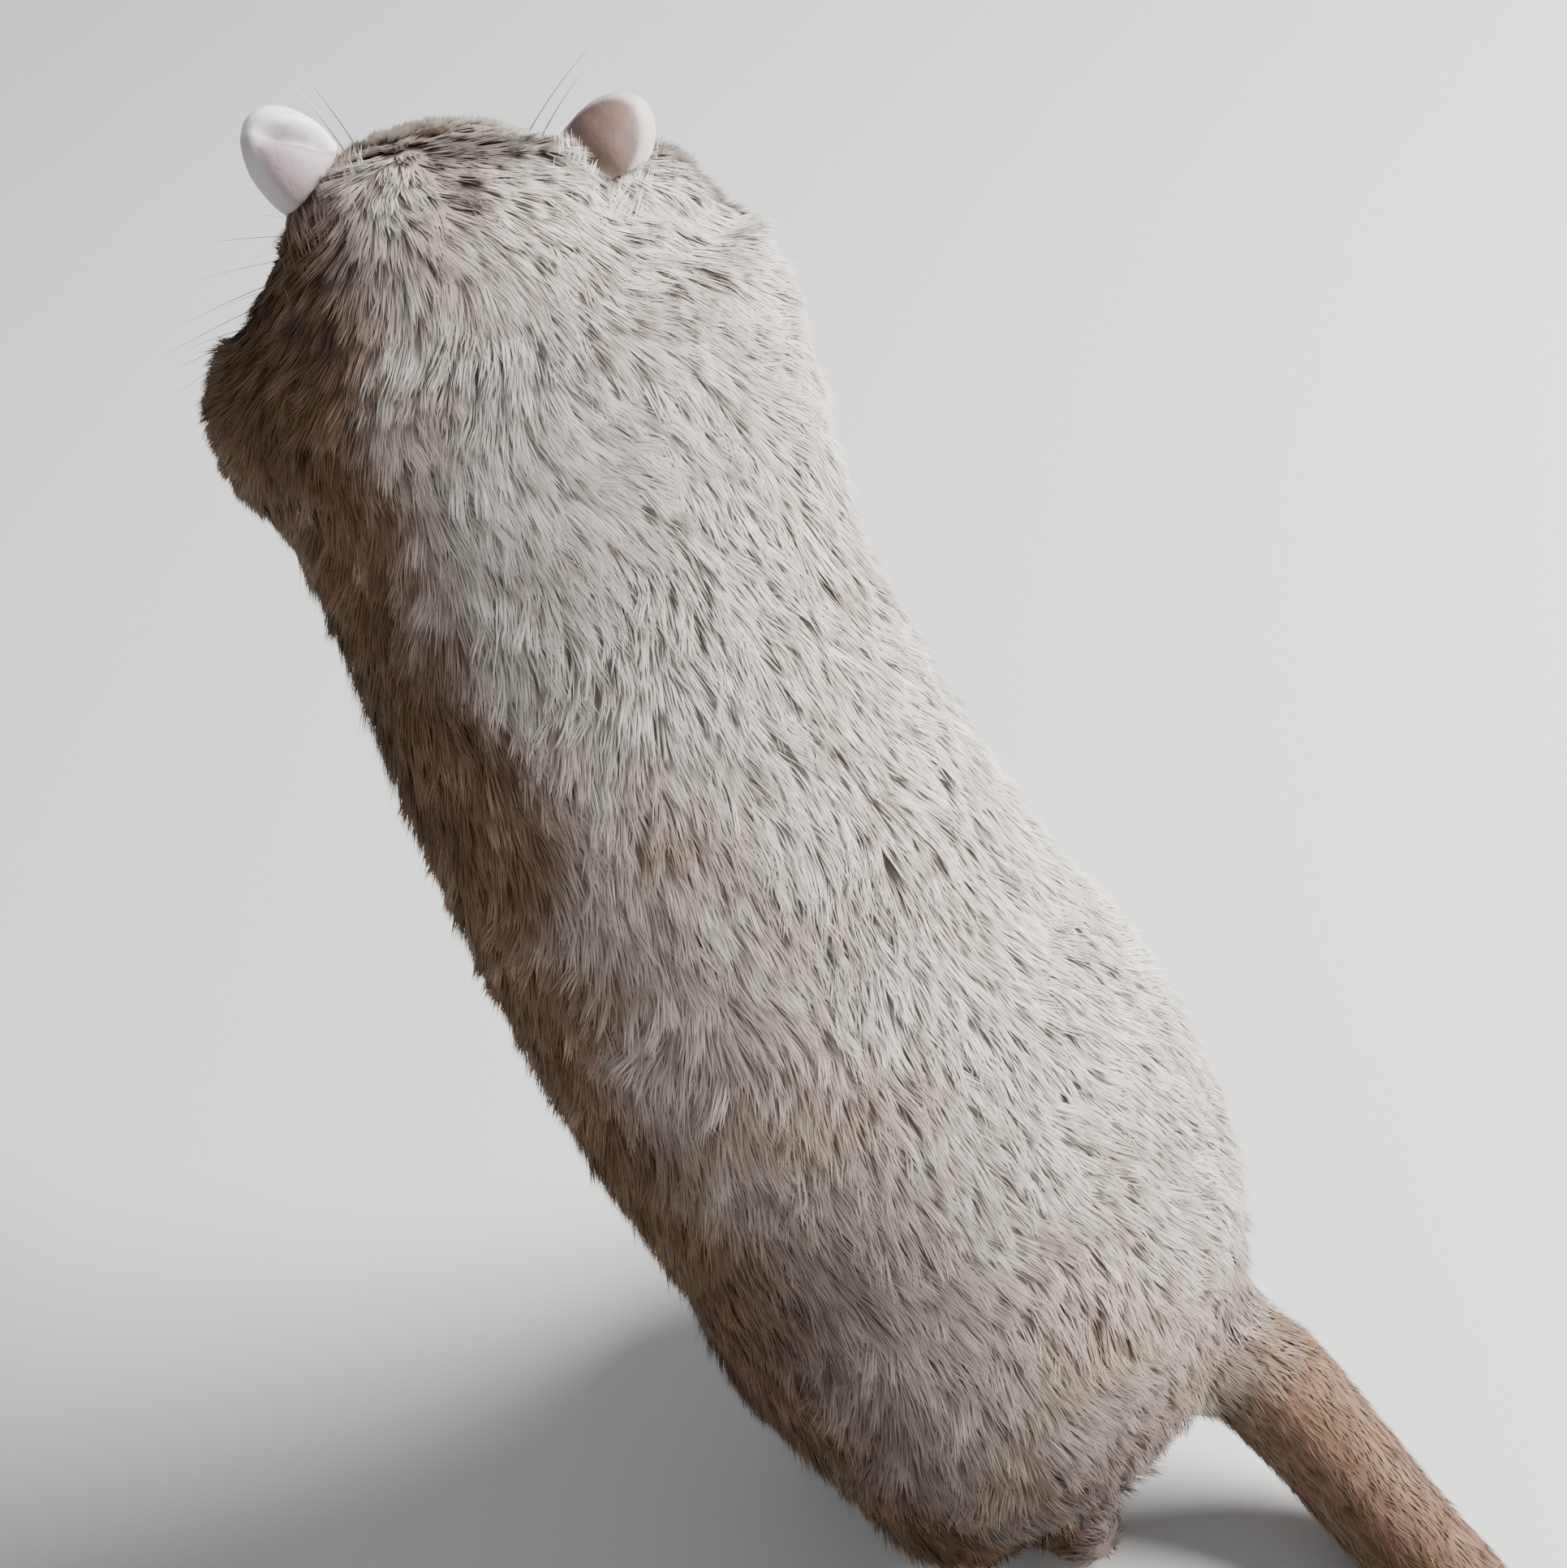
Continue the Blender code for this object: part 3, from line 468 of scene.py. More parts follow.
def close_lids(points):
    for side, middle, aim in eye_axes():
        offsets, along, away, reach = eye_reach(points, middle, aim)
        far = np.linalg.norm(offsets, axis=1)
        over = np.maximum(far, EYE_RADIUS + LID_OVER)
        under = np.minimum(far, EYE_RADIUS - LID_UNDER)
        opening = LID_OPEN * lid_share(away, aim)
        share = step_between(opening - LID_EDGE, opening, reach)
        moved = np.array(middle) + unit(offsets) * (under + (over - under) * share)[:, None] * MM
        points = np.where(((along > 0) & (reach < LID_REACH))[:, None], moved, points)
    return points


normals = surface_normals(points, triangles)
points = carve(points, normals, MUZZLE_PAD, PAD_REACH, -PAD_HEIGHT)
for side, swell in EAR_ROOT_SWELL.items():
    root = on_side(EAR, side) / MM + on_side(EAR_ROOT, side)
    near_root = spot(head_places, root, EAR_ROOT_REACH) * on_head
    points = points + normals * (near_root * swell * MM)[:, None]
points = close_lids(points)
points = relax(points, edges, 0.3 * spot(head_places, FACE_MIDDLE, FACE_REACH)[:, None], 2)
points = close_lids(points)
normals = surface_normals(points, triangles)
for rows, half_width, depth in CUTS:
    points = carve(points, normals, rows, half_width, depth)
normals = surface_normals(points, triangles)
skin.data.vertices.foreach_set("co", points.reshape(-1))
skin.data.update()

# Lie of the coat: back from the nose, down the trunk to the tail, and along each limb
FORE_TURN = Matrix.Rotation(math.radians(BREAST_TURN), 3, "Z")
FROM_NOSE = (0, -1.0, -0.12)
ELBOW_HEIGHT = 84
UPPER_ARM_WAY = (0.1, 0.3, -1.0)
FOREARM_WAY = (0.1, 0.92, -0.35)
FOREPAW_WAY = (0.0, 0.7, -0.7)
THIGH_WAY = (0.0, -0.45, -0.9)
HINDFOOT_WAY = (0.0, 1.0, -0.1)
RUMP_HEIGHT = 24
RUMP_TURN = (0.0, -0.35, 0.2)
trunk_rows = smooth_path(TRUNK_LINE, 6)


def heights(points):
    return (points[:, 2] - HOME.z) / MM


def trunk_flow(points):
    way = -unit(np.gradient(trunk_rows[:, :3], axis=0))
    way[trunk_rows[:, 2] < RUMP_HEIGHT] += np.array(RUMP_TURN)
    height = heights(points)
    out = np.empty_like(points)
    for axis in range(3):
        out[:, axis] = np.interp(height, trunk_rows[:, 2], way[:, axis])
    across, side, _ = trunk_side(points)
    fan = 0.18 + 0.5 * step_between(70.0, 100.0, height)
    return unit(out + across * (np.clip(side, -1, 1) * fan)[:, None])


# Angle round the trunk: 0 at its left, 90 at the middle of the back, less than 0 to the front
def trunk_angle(points):
    _, side, front = trunk_side(points)
    return np.degrees(np.arctan2(-front, -side))


# Which way is across the trunk at each point, and how far over and how far forward it lies, each
# as a share of the half width
def trunk_side(points):
    places = (points - np.array(HOME)) / MM
    turn = np.radians(BREAST_TURN) * np.clip((places[:, 2] - 50) / 40, 0, 1)
    across = np.stack([np.cos(turn), np.sin(turn), np.zeros(len(places))], axis=1)
    middle = [np.interp(places[:, 2], trunk_rows[:, 2], trunk_rows[:, axis]) for axis in (0, 1)]
    half = np.interp(places[:, 2], trunk_rows[:, 2], trunk_rows[:, 3])
    offsets = np.stack([places[:, 0] - middle[0], places[:, 1] - middle[1]], axis=1)
    side = np.sum(offsets * across[:, :2], axis=1) / half
    front = (offsets[:, 1] * across[:, 0] - offsets[:, 0] * across[:, 1]) / half
    return across, side, front


def nearest_rows(points, path):
    best = np.full(len(points), np.inf)
    index = np.zeros(len(points), dtype=np.int64)
    for i, row in enumerate(path):
        far = np.sum((points - row) ** 2, axis=1)
        closer = far < best
        best[closer] = far[closer]
        index[closer] = i
    return index


def tail_flow(points):
    return unit(np.gradient(tail_path, axis=0))[nearest_rows(points, tail_path)]


flow = trunk_flow(points)
nape = step_between(5.0, -6.0, head_places[:, 1])[:, None]
from_nose = np.array(head_turn @ Vector(FROM_NOSE))
flow = np.where(area["head"][:, None], from_nose * (1 - nape) + flow * nape, flow)
upper = area["foreleg"] & (points[:, 2] > HOME.z + ELBOW_HEIGHT * MM)
flow[upper] = np.array(FORE_TURN @ Vector(UPPER_ARM_WAY).normalized())
flow[area["foreleg"] & ~upper] = np.array(FORE_TURN @ Vector(FOREARM_WAY).normalized())
flow[area["forepaw"]] = np.array(FORE_TURN @ Vector(FOREPAW_WAY))
flow[area["hindleg"]] = np.array(Vector(THIGH_WAY).normalized())
flow[area["hindfoot"]] = np.array(HINDFOOT_WAY)
flow[area["tail"]] = tail_flow(points[area["tail"]])
flow = relax(flow, edges, 0.5, 40)

# Round each eye the hair parts, and it is bare at the lids and short near them
EYE_CLEAR, EYE_SHORT = 2.8, 7.0
EYE_PARTING = 1.6
near_eye = np.zeros(len(points))
for side, middle, aim in eye_axes():
    _, along, away, reach = eye_reach(points, middle, aim)
    ahead = along > 0
    parting = EYE_PARTING * np.exp(-((reach - 3.0) / 2.0) ** 2) * ahead
    flow += unit(away) * parting[:, None]
    clear = reach / lid_share(away, aim)
    lids = ahead * (1 - step_between(EYE_CLEAR - 0.1, EYE_CLEAR + 0.3, clear))
    near_eye = np.maximum(near_eye, lids)
    short = 1 - ahead * (along < 6) * (1 - step_between(EYE_CLEAR, EYE_SHORT, clear))
    fields[:, 1] *= 0.35 + 0.65 * short
    fields[:, 2] *= 0.6 + 0.4 * short
flow = unit(flow - normals * np.sum(flow * normals, axis=1)[:, None])


# Soft random values between 0 and 1, from mixed whole numbers at the corners of a lattice
def lattice_noise(points, size, seed):
    cells = points / (size * MM)
    base = np.floor(cells).astype(np.int64)
    part = cells - base
    part = part * part * (3 - 2 * part)
    total = np.zeros(len(points))
    for corner in range(8):
        bits = np.array([(corner >> axis) & 1 for axis in range(3)])
        key = base + bits
        mixed = (key[:, 0] * 73856093) ^ (key[:, 1] * 19349663)
        mixed = mixed ^ (key[:, 2] * 83492791) ^ (seed * 2654435)
        mixed = (mixed ^ (mixed >> 13)) * 1274126177
        value = ((mixed ^ (mixed >> 16)) & 0xFFFF) / 65535.0
        weight = np.prod(np.where(bits, part, 1 - part), axis=1)
        total += value * weight
    return total


# The coat swirls a little out of its lie from place to place
swirl = 0.9 * (lattice_noise(points, 6.5, 21) - 0.5) + 0.8 * (lattice_noise(points, 2.6, 22) - 0.5)
swirl = swirl * (1 - face) * (1 - tail_share) * ~(area["forepaw"] | area["hindfoot"])
flow = flow * np.cos(swirl)[:, None] + np.cross(normals, flow) * np.sin(swirl)[:, None]

# The hair grows longer and thicker to the tail's end
TAIL_LONGER, TAIL_THICKER = 7.0, 0.03
tail_along = nearest_rows(points, tail_path) / (len(tail_path) - 1)
tail_end = step_between(0.66, 1.0, tail_along) * tail_share
fields[:, 1] += TAIL_LONGER * tail_end
fields[:, 2] += TAIL_THICKER * tail_end

# Markings, the same for skin and hair: one number from dark to light and one from grey to warm.
# Besides the coat's own colours they carry painted light and shade.
# How far round the back the brown of the left and right flank reaches, by height, in degrees. The
# brown is the coat's own colour, made darker in part as painted shade.
BROWN_TO = (
    (20, 22, 0), (42, 20, 2), (60, 24, 4), (66, 30, 4), (84, 50, 0), (96, 50, -16), (110, 50, -20),
)
# Slate marks on the crown: middle with its height flattened, reach, strength
CROWN_MARKS = (
    ((-0.7, -4.0, 3.2), 1.6, 1.0), ((2.6, -4.2, 3.1), 1.5, 1.0), ((-0.9, -8.8, 2.8), 1.1, 0.9),
)
CROWN_FLAT = (1, 1, 0.3)
TAIL_LIGHT, TAIL_WARM = 0.3, 0.95


def flanks(height, ragged):
    limits = np.array(BROWN_TO, dtype=float)
    angle = trunk_angle(points)
    both = []
    for column, round_back in ((1, angle), (2, np.abs(180 - np.abs(angle)) * np.sign(angle))):
        limit = np.interp(height, limits[:, 0], limits[:, column])
        turned = round_back + 14 * ragged
        both.append(step_between(limit + 13, limit - 11, turned) * step_between(-62, -46, turned))
    return np.where(np.abs(angle) < 90, both[0], both[1])


def cheeks(ragged):
    wide, far, high = head_places.T
    left = step_between(5.4, 8.4, -wide + 2.0 * ragged)
    right = step_between(6.0, 9.0, wide + 2.0 * ragged) * step_between(2.5, 5.5, far)
    behind_eye = 1 - step_between(5.0, 9.0, far + 2.5 * ragged)
    return np.maximum(left, right) * behind_eye * step_between(-8.0, -5.0, high + 1.5 * ragged)


def crown_marks():
    places = head_places * np.array(CROWN_FLAT)
    total = sum(strength * spot(places, middle, reach) for middle, reach, strength in CROWN_MARKS)
    broken = step_between(0.1, 0.35, lattice_noise(points, 1.1, 11))
    return np.clip(1.8 * total, 0, 1) * broken


# Painted light over the brow, between the eyes and the crown: paler, less warm fur standing in for
# light on the crest
def painted_brow_light():
    wide, far, high = head_places.T
    brow = step_between(-2.0, 2.5, far) * step_between(14, 8, far)
    brow = brow * step_between(7.5, 5, np.abs(wide))
    return brow * step_between(5.5, 8, high) * on_head


def markings():
    height, round_trunk = heights(points), np.abs(trunk_angle(points))
    arms = spread(area["foreleg"], 12) * step_between(93.0, 84.0, height)
    below = step_between(0.25, 0.95, normals[:, 1] * 0.9 - normals[:, 2] * 0.5)
    below = np.maximum(below, arms * 0.8)
    ragged = lattice_noise(points, 3.2, 5) - 0.5
    brown = flanks(height, ragged) * (1 - on_head) + cheeks(ragged) * on_head
    brown = brown * (1 - arms)
    # Painted light: the right side of the trunk, toward the key light, made lighter and less warm
    right = step_between(120, 165, round_trunk) * (1 - face) * step_between(20, 60, height)
    # Painted shade: the left side of the trunk, turned from the light, made darker
    left = step_between(108, 35, round_trunk) * step_between(98, 50, height) * (1 - brown)
    patch = lattice_noise(points, 7.0, 3) * 0.6 + lattice_noise(points, 2.6, 4) * 0.4
    flecks = step_between(0.72, 0.9, lattice_noise(points, 1.5, 12)) * (1 - below) * (1 - face)
    crown, brow = crown_marks(), painted_brow_light()

    # The brown of the flanks and cheeks lowers the tone: the coat's own colour, partly painted
    # shade
    shade = 0.6 + 0.34 * (patch - 0.5) - 0.3 * brown + 0.1 * right + 0.24 * below
    # Painted shade: the coat darker toward the bottom of the body, and on the left side
    shade = shade - (0.38 * step_between(58, 10, height) + 0.26 * left) * (1 - below)
    shade = shade - 0.08 * flecks
    # The brow gets painted light, except under the slate crown marks
    shade = shade + 0.1 * face + 0.25 * brow * (1 - crown) - 0.9 * crown
    sand = 0.3 + 0.5 * (lattice_noise(points, 6.0, 8) - 0.5) + 0.7 * brown - 0.1 * right
    sand = sand * (1 - 0.6 * below)
    sand = sand + 0.1 * face - 0.3 * crown - 0.25 * brow
    shade = shade * (1 - tail_share) + (TAIL_LIGHT - 0.2 * tail_end) * tail_share
    sand = sand * (1 - tail_share) + (TAIL_WARM - 0.3 * tail_end) * tail_share
    return np.clip(shade, 0, 1), np.clip(sand, 0, 1)


light, warm = markings()

# Bare skin: the nose, the line of the lips, the digits and the soles
NOSE_TIP = (0.0, 26.4, -0.6)
NOSE_REACH, LIP_REACH = 1.7, 0.7
face_places = head_places.copy()
face_places[:, 0] = np.abs(face_places[:, 0])
nose_bare = np.exp(-(np.linalg.norm(face_places - np.array(NOSE_TIP), axis=1) / NOSE_REACH) ** 2)
lip_bare = np.exp(-(near_curve(face_places, MOUTH) / LIP_REACH) ** 2) * 0.7
bare = np.clip(1.3 * nose_bare + lip_bare, 0, 1) * on_head
under_foot = step_between(0.0, -0.5, normals[:, 2])
soles = 0.3 * area["forepaw"] + 0.1 * area["hindfoot"]
soles = soles + under_foot * (0.7 * area["forepaw"] + 0.6 * area["hindfoot"])
bare = np.clip(bare + spread(soles, 6), 0, 1)

# Dark, middle and pale tones of each colour
COAT_GREYS = ((0.13, 0.112, 0.1), (0.37, 0.335, 0.3), (0.72, 0.69, 0.65))
COAT_SANDS = ((0.06, 0.037, 0.024), (0.225, 0.143, 0.088), (0.76, 0.67, 0.58))
SKIN_PINKS = ((0.42, 0.2, 0.17), (0.62, 0.37, 0.33), (0.75, 0.53, 0.48))
TAIL_BROWNS = ((0.08, 0.04, 0.026), (0.12, 0.062, 0.038), (0.19, 0.11, 0.072))
TONE_MIDDLE = 0.45
# The skin under the coat takes the coat's markings a little darker: a slate tone, and painted shade
# of the depth beneath the hair
SKIN_DARKER = 0.9


def new_group(name, inputs, output, kind):
    group = bpy.data.node_groups.new(name, "ShaderNodeTree")
    for word in inputs:
        group.interface.new_socket(word, in_out="INPUT", socket_type="NodeSocketFloat")
    group.interface.new_socket(output, in_out="OUTPUT", socket_type=kind)
    start = group.nodes.new("NodeGroupInput")
    return group, start.outputs, group.nodes.new("NodeGroupOutput").inputs[output]


def ramp_node(tree, colours):
    ramp = tree.nodes.new("ShaderNodeValToRGB")
    elements = ramp.color_ramp.elements
    elements.new(TONE_MIDDLE)
    for element, place, colour in zip(elements, (0.0, TONE_MIDDLE, 1.0), colours):
        element.position = place
        element.color = (*colour, 1)
    return ramp


def mix_node(tree):
    mix = tree.nodes.new("ShaderNodeMix")
    mix.data_type = "RGBA"
    return mix


def mixed_node(tree, share, under, over):
    mix = mix_node(tree)
    for socket, value in ((0, share), (6, under), (7, over)):
        tree.links.new(value, mix.inputs[socket])
    return mix.outputs[2]


# Colour of the coat from its two markings
def coat_colour_group():
    group, start, end = new_group("coat_colour", ("Light", "Warm"), "Color", "NodeSocketColor")
    grey, sand = ramp_node(group, COAT_GREYS), ramp_node(group, COAT_SANDS)
    for ramp in (grey, sand):
        group.links.new(start["Light"], ramp.inputs["Fac"])
    colours = mixed_node(group, start["Warm"], grey.outputs["Color"], sand.outputs["Color"])
    group.links.new(colours, end)
    return group


def grouped_noise(group, start):
    place = group.nodes.new("ShaderNodeTexCoord")
    noise = group.nodes.new("ShaderNodeTexNoise")
    group.links.new(place.outputs["Object"], noise.inputs["Vector"])
    for word in ("Scale", "Detail"):
        group.links.new(start[word], noise.inputs[word])
    return noise.outputs["Fac"]


# Soft blotches in bare skin, horn and eyes
def blotches_group():
    group, start, end = new_group("blotches", ("Scale", "Detail"), "Mask", "NodeSocketFloat")
    group.links.new(grouped_noise(group, start), end)
    return group


# Fine pores of bare skin
def pores_group():
    numbers = ("Scale", "Detail", "Strength", "Distance")
    group, start, end = new_group("pores", numbers, "Normal", "NodeSocketVector")
    bump = group.nodes.new("ShaderNodeBump")
    group.links.new(grouped_noise(group, start), bump.inputs["Height"])
    for word in numbers[2:]:
        group.links.new(start[word], bump.inputs[word])
    group.links.new(bump.outputs["Normal"], end)
    return group


coat_colour, blotches, pores = coat_colour_group(), blotches_group(), pores_group()


def placed_group(tree, group, **values):
    node = tree.nodes.new("ShaderNodeGroup")
    node.node_tree = group
    for word, value in values.items():
        node.inputs[word].default_value = value
    return node


def field_node(tree, name):
    node = tree.nodes.new("ShaderNodeAttribute")
    node.attribute_name = name
    return node.outputs["Fac"]


def coat_node(tree):
    coat = placed_group(tree, coat_colour)
    for word in ("Light", "Warm"):
        tree.links.new(field_node(tree, word.lower()), coat.inputs[word])
    return coat.outputs["Color"]


def mottled_node(tree, scale, detail, tones):
    ramp = ramp_node(tree, tones)
    blotch = placed_group(tree, blotches, Scale=scale, Detail=detail)
    tree.links.new(blotch.outputs["Mask"], ramp.inputs["Fac"])
    return ramp.outputs["Color"]


def pores_node(tree, scale, detail, strength, distance):
    values = {"Scale": scale, "Detail": detail, "Strength": strength, "Distance": distance}
    return placed_group(tree, pores, **values).outputs["Normal"]


def skin_material():
    material, tree, shader = new_material("skin", 0.62, 0.3)
    pink = mottled_node(tree, 330.0, 4.0, SKIN_PINKS)
    brown = mottled_node(tree, 330.0, 4.0, TAIL_BROWNS)
    body = mixed_node(tree, field_node(tree, "bare"), coat_node(tree), pink)
    colour = mixed_node(tree, field_node(tree, "tail"), body, brown)
    tree.links.new(colour, shader.inputs["Base Color"])
    tree.links.new(pores_node(tree, 2600.0, 3.0, 0.35, 0.00012), shader.inputs["Normal"])
    return material


def set_field(obj, name, values):
    attribute = obj.data.attributes.new(name, "FLOAT", "POINT")
    attribute.data.foreach_set("value", np.ascontiguousarray(values, dtype=np.float32))


set_field(skin, "light", light * SKIN_DARKER)
set_field(skin, "warm", warm)
set_field(skin, "bare", bare)
set_field(skin, "tail", tail_share)
thin = skin.modifiers.new("thin", "DECIMATE")
thin.ratio = min(1.0, SKIN_TRIANGLES / len(triangles))
finish_modifier(skin, thin)
skin.data.shade_smooth()
skin.data.materials.append(skin_material())
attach(skin, "root")
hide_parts(*FLESH, "tail_root", "tail_mid", "tail_tip")

# Eyes. Large round wet black eyeballs, set in the sockets. Where the lids close on each, a fine
# dark rim of bare skin runs round the opening as one closed bead.
EYE_BLACKS = ((0.004, 0.003, 0.003), (0.011, 0.007, 0.006), (0.026, 0.015, 0.011))
RIM_BROWN = (0.045, 0.03, 0.026, 1.0)
RIM_RADIUS = 0.17
RIM_OUTSIDE = 0.03
RIM_STEPS, RIM_SIDES = 64, 10


def lid_bead(middle, aim):
    long_way, high_way = (np.array(way) for way in lid_frame(aim))
    turns = np.linspace(0, 2 * math.pi, RIM_STEPS, endpoint=False)[:, None]
    away = long_way * np.cos(turns) + high_way * np.sin(turns)
    reach = (LID_OPEN + RIM_OUTSIDE) * lid_share(away, aim)[:, None]
    out = np.sqrt(EYE_RADIUS ** 2 - reach ** 2)
    path = np.array(middle) / MM + away * reach + np.array(aim) * out
    outward = unit(path - np.array(middle) / MM)
    ahead = unit(np.roll(path, -1, axis=0) - np.roll(path, 1, axis=0))
    across = np.cross(ahead, outward)
    turns = np.linspace(0, 2 * math.pi, RIM_SIDES, endpoint=False)
    rings = path[:, None, :] + RIM_RADIUS * (
        across[:, None, :] * np.cos(turns)[None, :, None]
        + outward[:, None, :] * np.sin(turns)[None, :, None]
    )
    faces = []
    for row in range(RIM_STEPS):
        low, high = row * RIM_SIDES, (row + 1) % RIM_STEPS * RIM_SIDES
        for k in range(RIM_SIDES):
            j = (k + 1) % RIM_SIDES
            faces += [(low + k, high + j, low + j), (low + k, high + k, high + j)]
    return rings.reshape(-1, 3) * MM, np.array(faces)


def mottled_material(name, roughness, scale, detail, tones, specular=0.5):
    material, tree, shader = new_material(name, roughness, specular)
    tree.links.new(mottled_node(tree, scale, detail, tones), shader.inputs["Base Color"])
    return material


def settle_piece(obj, name, material):
    pick(obj)
    bpy.ops.object.transform_apply(location=True, rotation=True, scale=True)
    obj.name = name
    obj.data.name = name
    obj.data.materials.clear()
    obj.data.materials.append(material)
    obj.data.shade_smooth()
    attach(obj, "root")
    return obj


eye_black = mottled_material("eye_black", 0.06, 500.0, 2.0, EYE_BLACKS, 0.3)
rim_dark, _, rim_shader = new_material("lid_rim", 0.35)
rim_shader.inputs["Base Color"].default_value = RIM_BROWN
for side, middle, aim in eye_axes():
    turn = aim.to_track_quat("Z", "Y").to_euler()
    bpy.ops.object.select_all(action="DESELECT")
    bpy.ops.mesh.primitive_uv_sphere_add(
        segments=48, ring_count=24, radius=EYE_RADIUS * MM, location=middle, rotation=turn
    )
    eye = settle_piece(bpy.context.active_object, "eyeball_" + SIDES[side], eye_black)
    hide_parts("eye_" + SIDES[side])
    rim = triangle_object("lid_rim_" + SIDES[side], *lid_bead(middle, aim))
    settle_piece(rim, "lid_rim_" + SIDES[side], rim_dark)

# Ears. Thin round cups of bare pink skin with a pale edge, furred only at the root. The left one,
# nearest the camera, is folded in by a crease that parts it into two lobes.
EAR_AIM = (0.6, 0.0, 0.8)
EAR_FACE = (0.5, 0.85, -0.2)
EAR_TALL, EAR_WIDE = 4.2, 2.9
EAR_VOXEL = 0.16
EAR_BACKS = {-1: (0.33, 0.25, 0.26), 1: (0.16, 0.1, 0.08)}
EAR_PALES = {-1: (0.8, 0.78, 0.8), 1: (0.5, 0.44, 0.41)}
EAR_EDGE_PALE = {-1: 0.45, 1: 0.95}
CREASE_HEIGHT = {-1: 2.0, 1: -0.5}
CREASE_DEPTH = {-1: 1.1, 1: 0.15}
CREASE_WIDTH = 0.5
LOBE_HEIGHT, LOBE_WIDTH, LOBE_SWELL = 1.1, 0.9, 0.5


def ear_material(side):
    material, tree, shader = new_material("ear_skin_" + SIDES[side], 0.6)
    shader.inputs["Subsurface Weight"].default_value = 0.15
    shader.inputs["Subsurface Scale"].default_value = 0.001
    tones = [[value * share for value in EAR_BACKS[side]] for share in (0.75, 1.0, 1.2)]
    pale = mix_node(tree)
    pale.inputs[7].default_value = (*EAR_PALES[side], 1)
    tree.links.new(mottled_node(tree, 420.0, 3.0, tones), pale.inputs[6])
    tree.links.new(field_node(tree, "pale"), pale.inputs[0])
    tree.links.new(pale.outputs[2], shader.inputs["Base Color"])
    tree.links.new(pores_node(tree, 3000.0, 2.0, 0.25, 0.0001), shader.inputs["Normal"])
    return material


def ear_frame(side):
    up = on_side(EAR_AIM, side).normalized()
    front = on_side(EAR_FACE, side)
    front = (front - up * front.dot(up)).normalized()
    turn = Matrix((front.cross(up), front, up)).transposed().to_4x4()
    return head_frame @ Matrix.Translation(on_side(EAR, side)) @ turn


for side, word in SIDES.items():
    ear = triangle_object("ear_shell_" + word, *cad_copy("ear_" + word))
    melt(ear, EAR_VOXEL)
    ear_points, ear_edges, ear_triangles = mesh_arrays(ear)
    ear_points = relax(ear_points, ear_edges, 0.5, 5)
    turned = ear_frame(side)
    local = placed(ear_points, turned.inverted()) / MM
    rise = np.hypot(local[:, 0] / EAR_WIDE, local[:, 2] / EAR_TALL)
    ear_normals = surface_normals(ear_points, ear_triangles)
    backward = -(ear_normals @ np.array(turned.to_3x3())[:, 1])

    crease_up = np.array(camera_up if side < 0 else turned.to_3x3() @ Vector((0, 0, 1)))
    crease_at = np.array(turned @ (Vector((0, 0, CREASE_HEIGHT[side])) * MM))
    from_crease = (ear_points - crease_at) @ crease_up / MM
    groove = np.exp(-(from_crease / CREASE_WIDTH) ** 2) * step_between(0.95, 0.6, rise)
    swell = np.exp(-((from_crease - LOBE_HEIGHT) / LOBE_WIDTH) ** 2)
    swell = swell * step_between(1.0, 0.5, rise) * LOBE_SWELL
    depth = (backward > 0) * CREASE_DEPTH[side] * MM
    ear_points += ear_normals * ((swell - groove) * depth)[:, None]
    ear_points = relax(ear_points, ear_edges, 0.5, 3)
    ear.data.vertices.foreach_set("co", ear_points.reshape(-1))

    edge = step_between(0.76, 0.9, rise) * EAR_EDGE_PALE[side]
    lobe = step_between(-0.3, 0.5, from_crease) if side < 0 else 0.0
    set_field(ear, "pale", np.clip(edge + lobe * 0.9, 0, 1))
    settle_piece(ear, "ear_shell_" + word, ear_material(side))
    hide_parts("ear_" + word)

# Coat. Short dense fur in fine tapered tufts, each a slim closed spike rooted in the skin, laid
# along the body and drawn together at the tips in small clumps. It is grown piece by piece.
draw = np.random.default_rng(20)
CLUMP_SPACING = 1.0
CLUMP_COLOUR = 1.5
LENGTHS, THICKNESSES, LIFTS = (0.7, 1.1), (0.75, 1.2), (0.5, 1.3)
CLUMP_LIFT, CLUMP_TURN, STRAY_TURN = 0.06, 0.17, 0.12
FLATTENED = 0.35
ROOT_DEPTH = 0.05
TIP_CLEAR = 0.14
FLOOR_CLEAR = 0.0003
ROOT_DARKER, TIP_LIGHTER, TICK_DARKER = 0.13, 0.08, 0.25
SOFTNESS = 0.72
# Corners of a spike: two at the sides of its root, one on top of the root, and the tip
SPIKE = np.array(((0, 1, 2), (1, 0, 3), (2, 1, 3), (0, 2, 3)))
PATCH_PLACES = np.array(((-1, -1), (1, -1), (0, 0.1), (0, 1.0))) * 0.0015

skin_tree = nearest_tree(points)
side_one = points[triangles[:, 1]] - points[triangles[:, 0]]
side_two = points[triangles[:, 2]] - points[triangles[:, 0]]
triangle_sizes = np.linalg.norm(np.cross(side_one, side_two), axis=1)


# Random places on the skin, thickest where keep is high, and a way to read any field there
def scatter(keep, count):
    weight = triangle_sizes * keep[triangles].mean(axis=1)
    chosen = draw.choice(len(triangles), count, p=weight / weight.sum())
    first, second = draw.random(count), draw.random(count)
    over = first + second > 1
    first[over], second[over] = 1 - first[over], 1 - second[over]
    shares = np.stack([1 - first - second, first, second], axis=1)
    corners = triangles[chosen]

    def at(values):
        values = values.reshape(len(values), -1)
        return np.einsum("nk,nkd->nd", shares, values[corners])

    return at


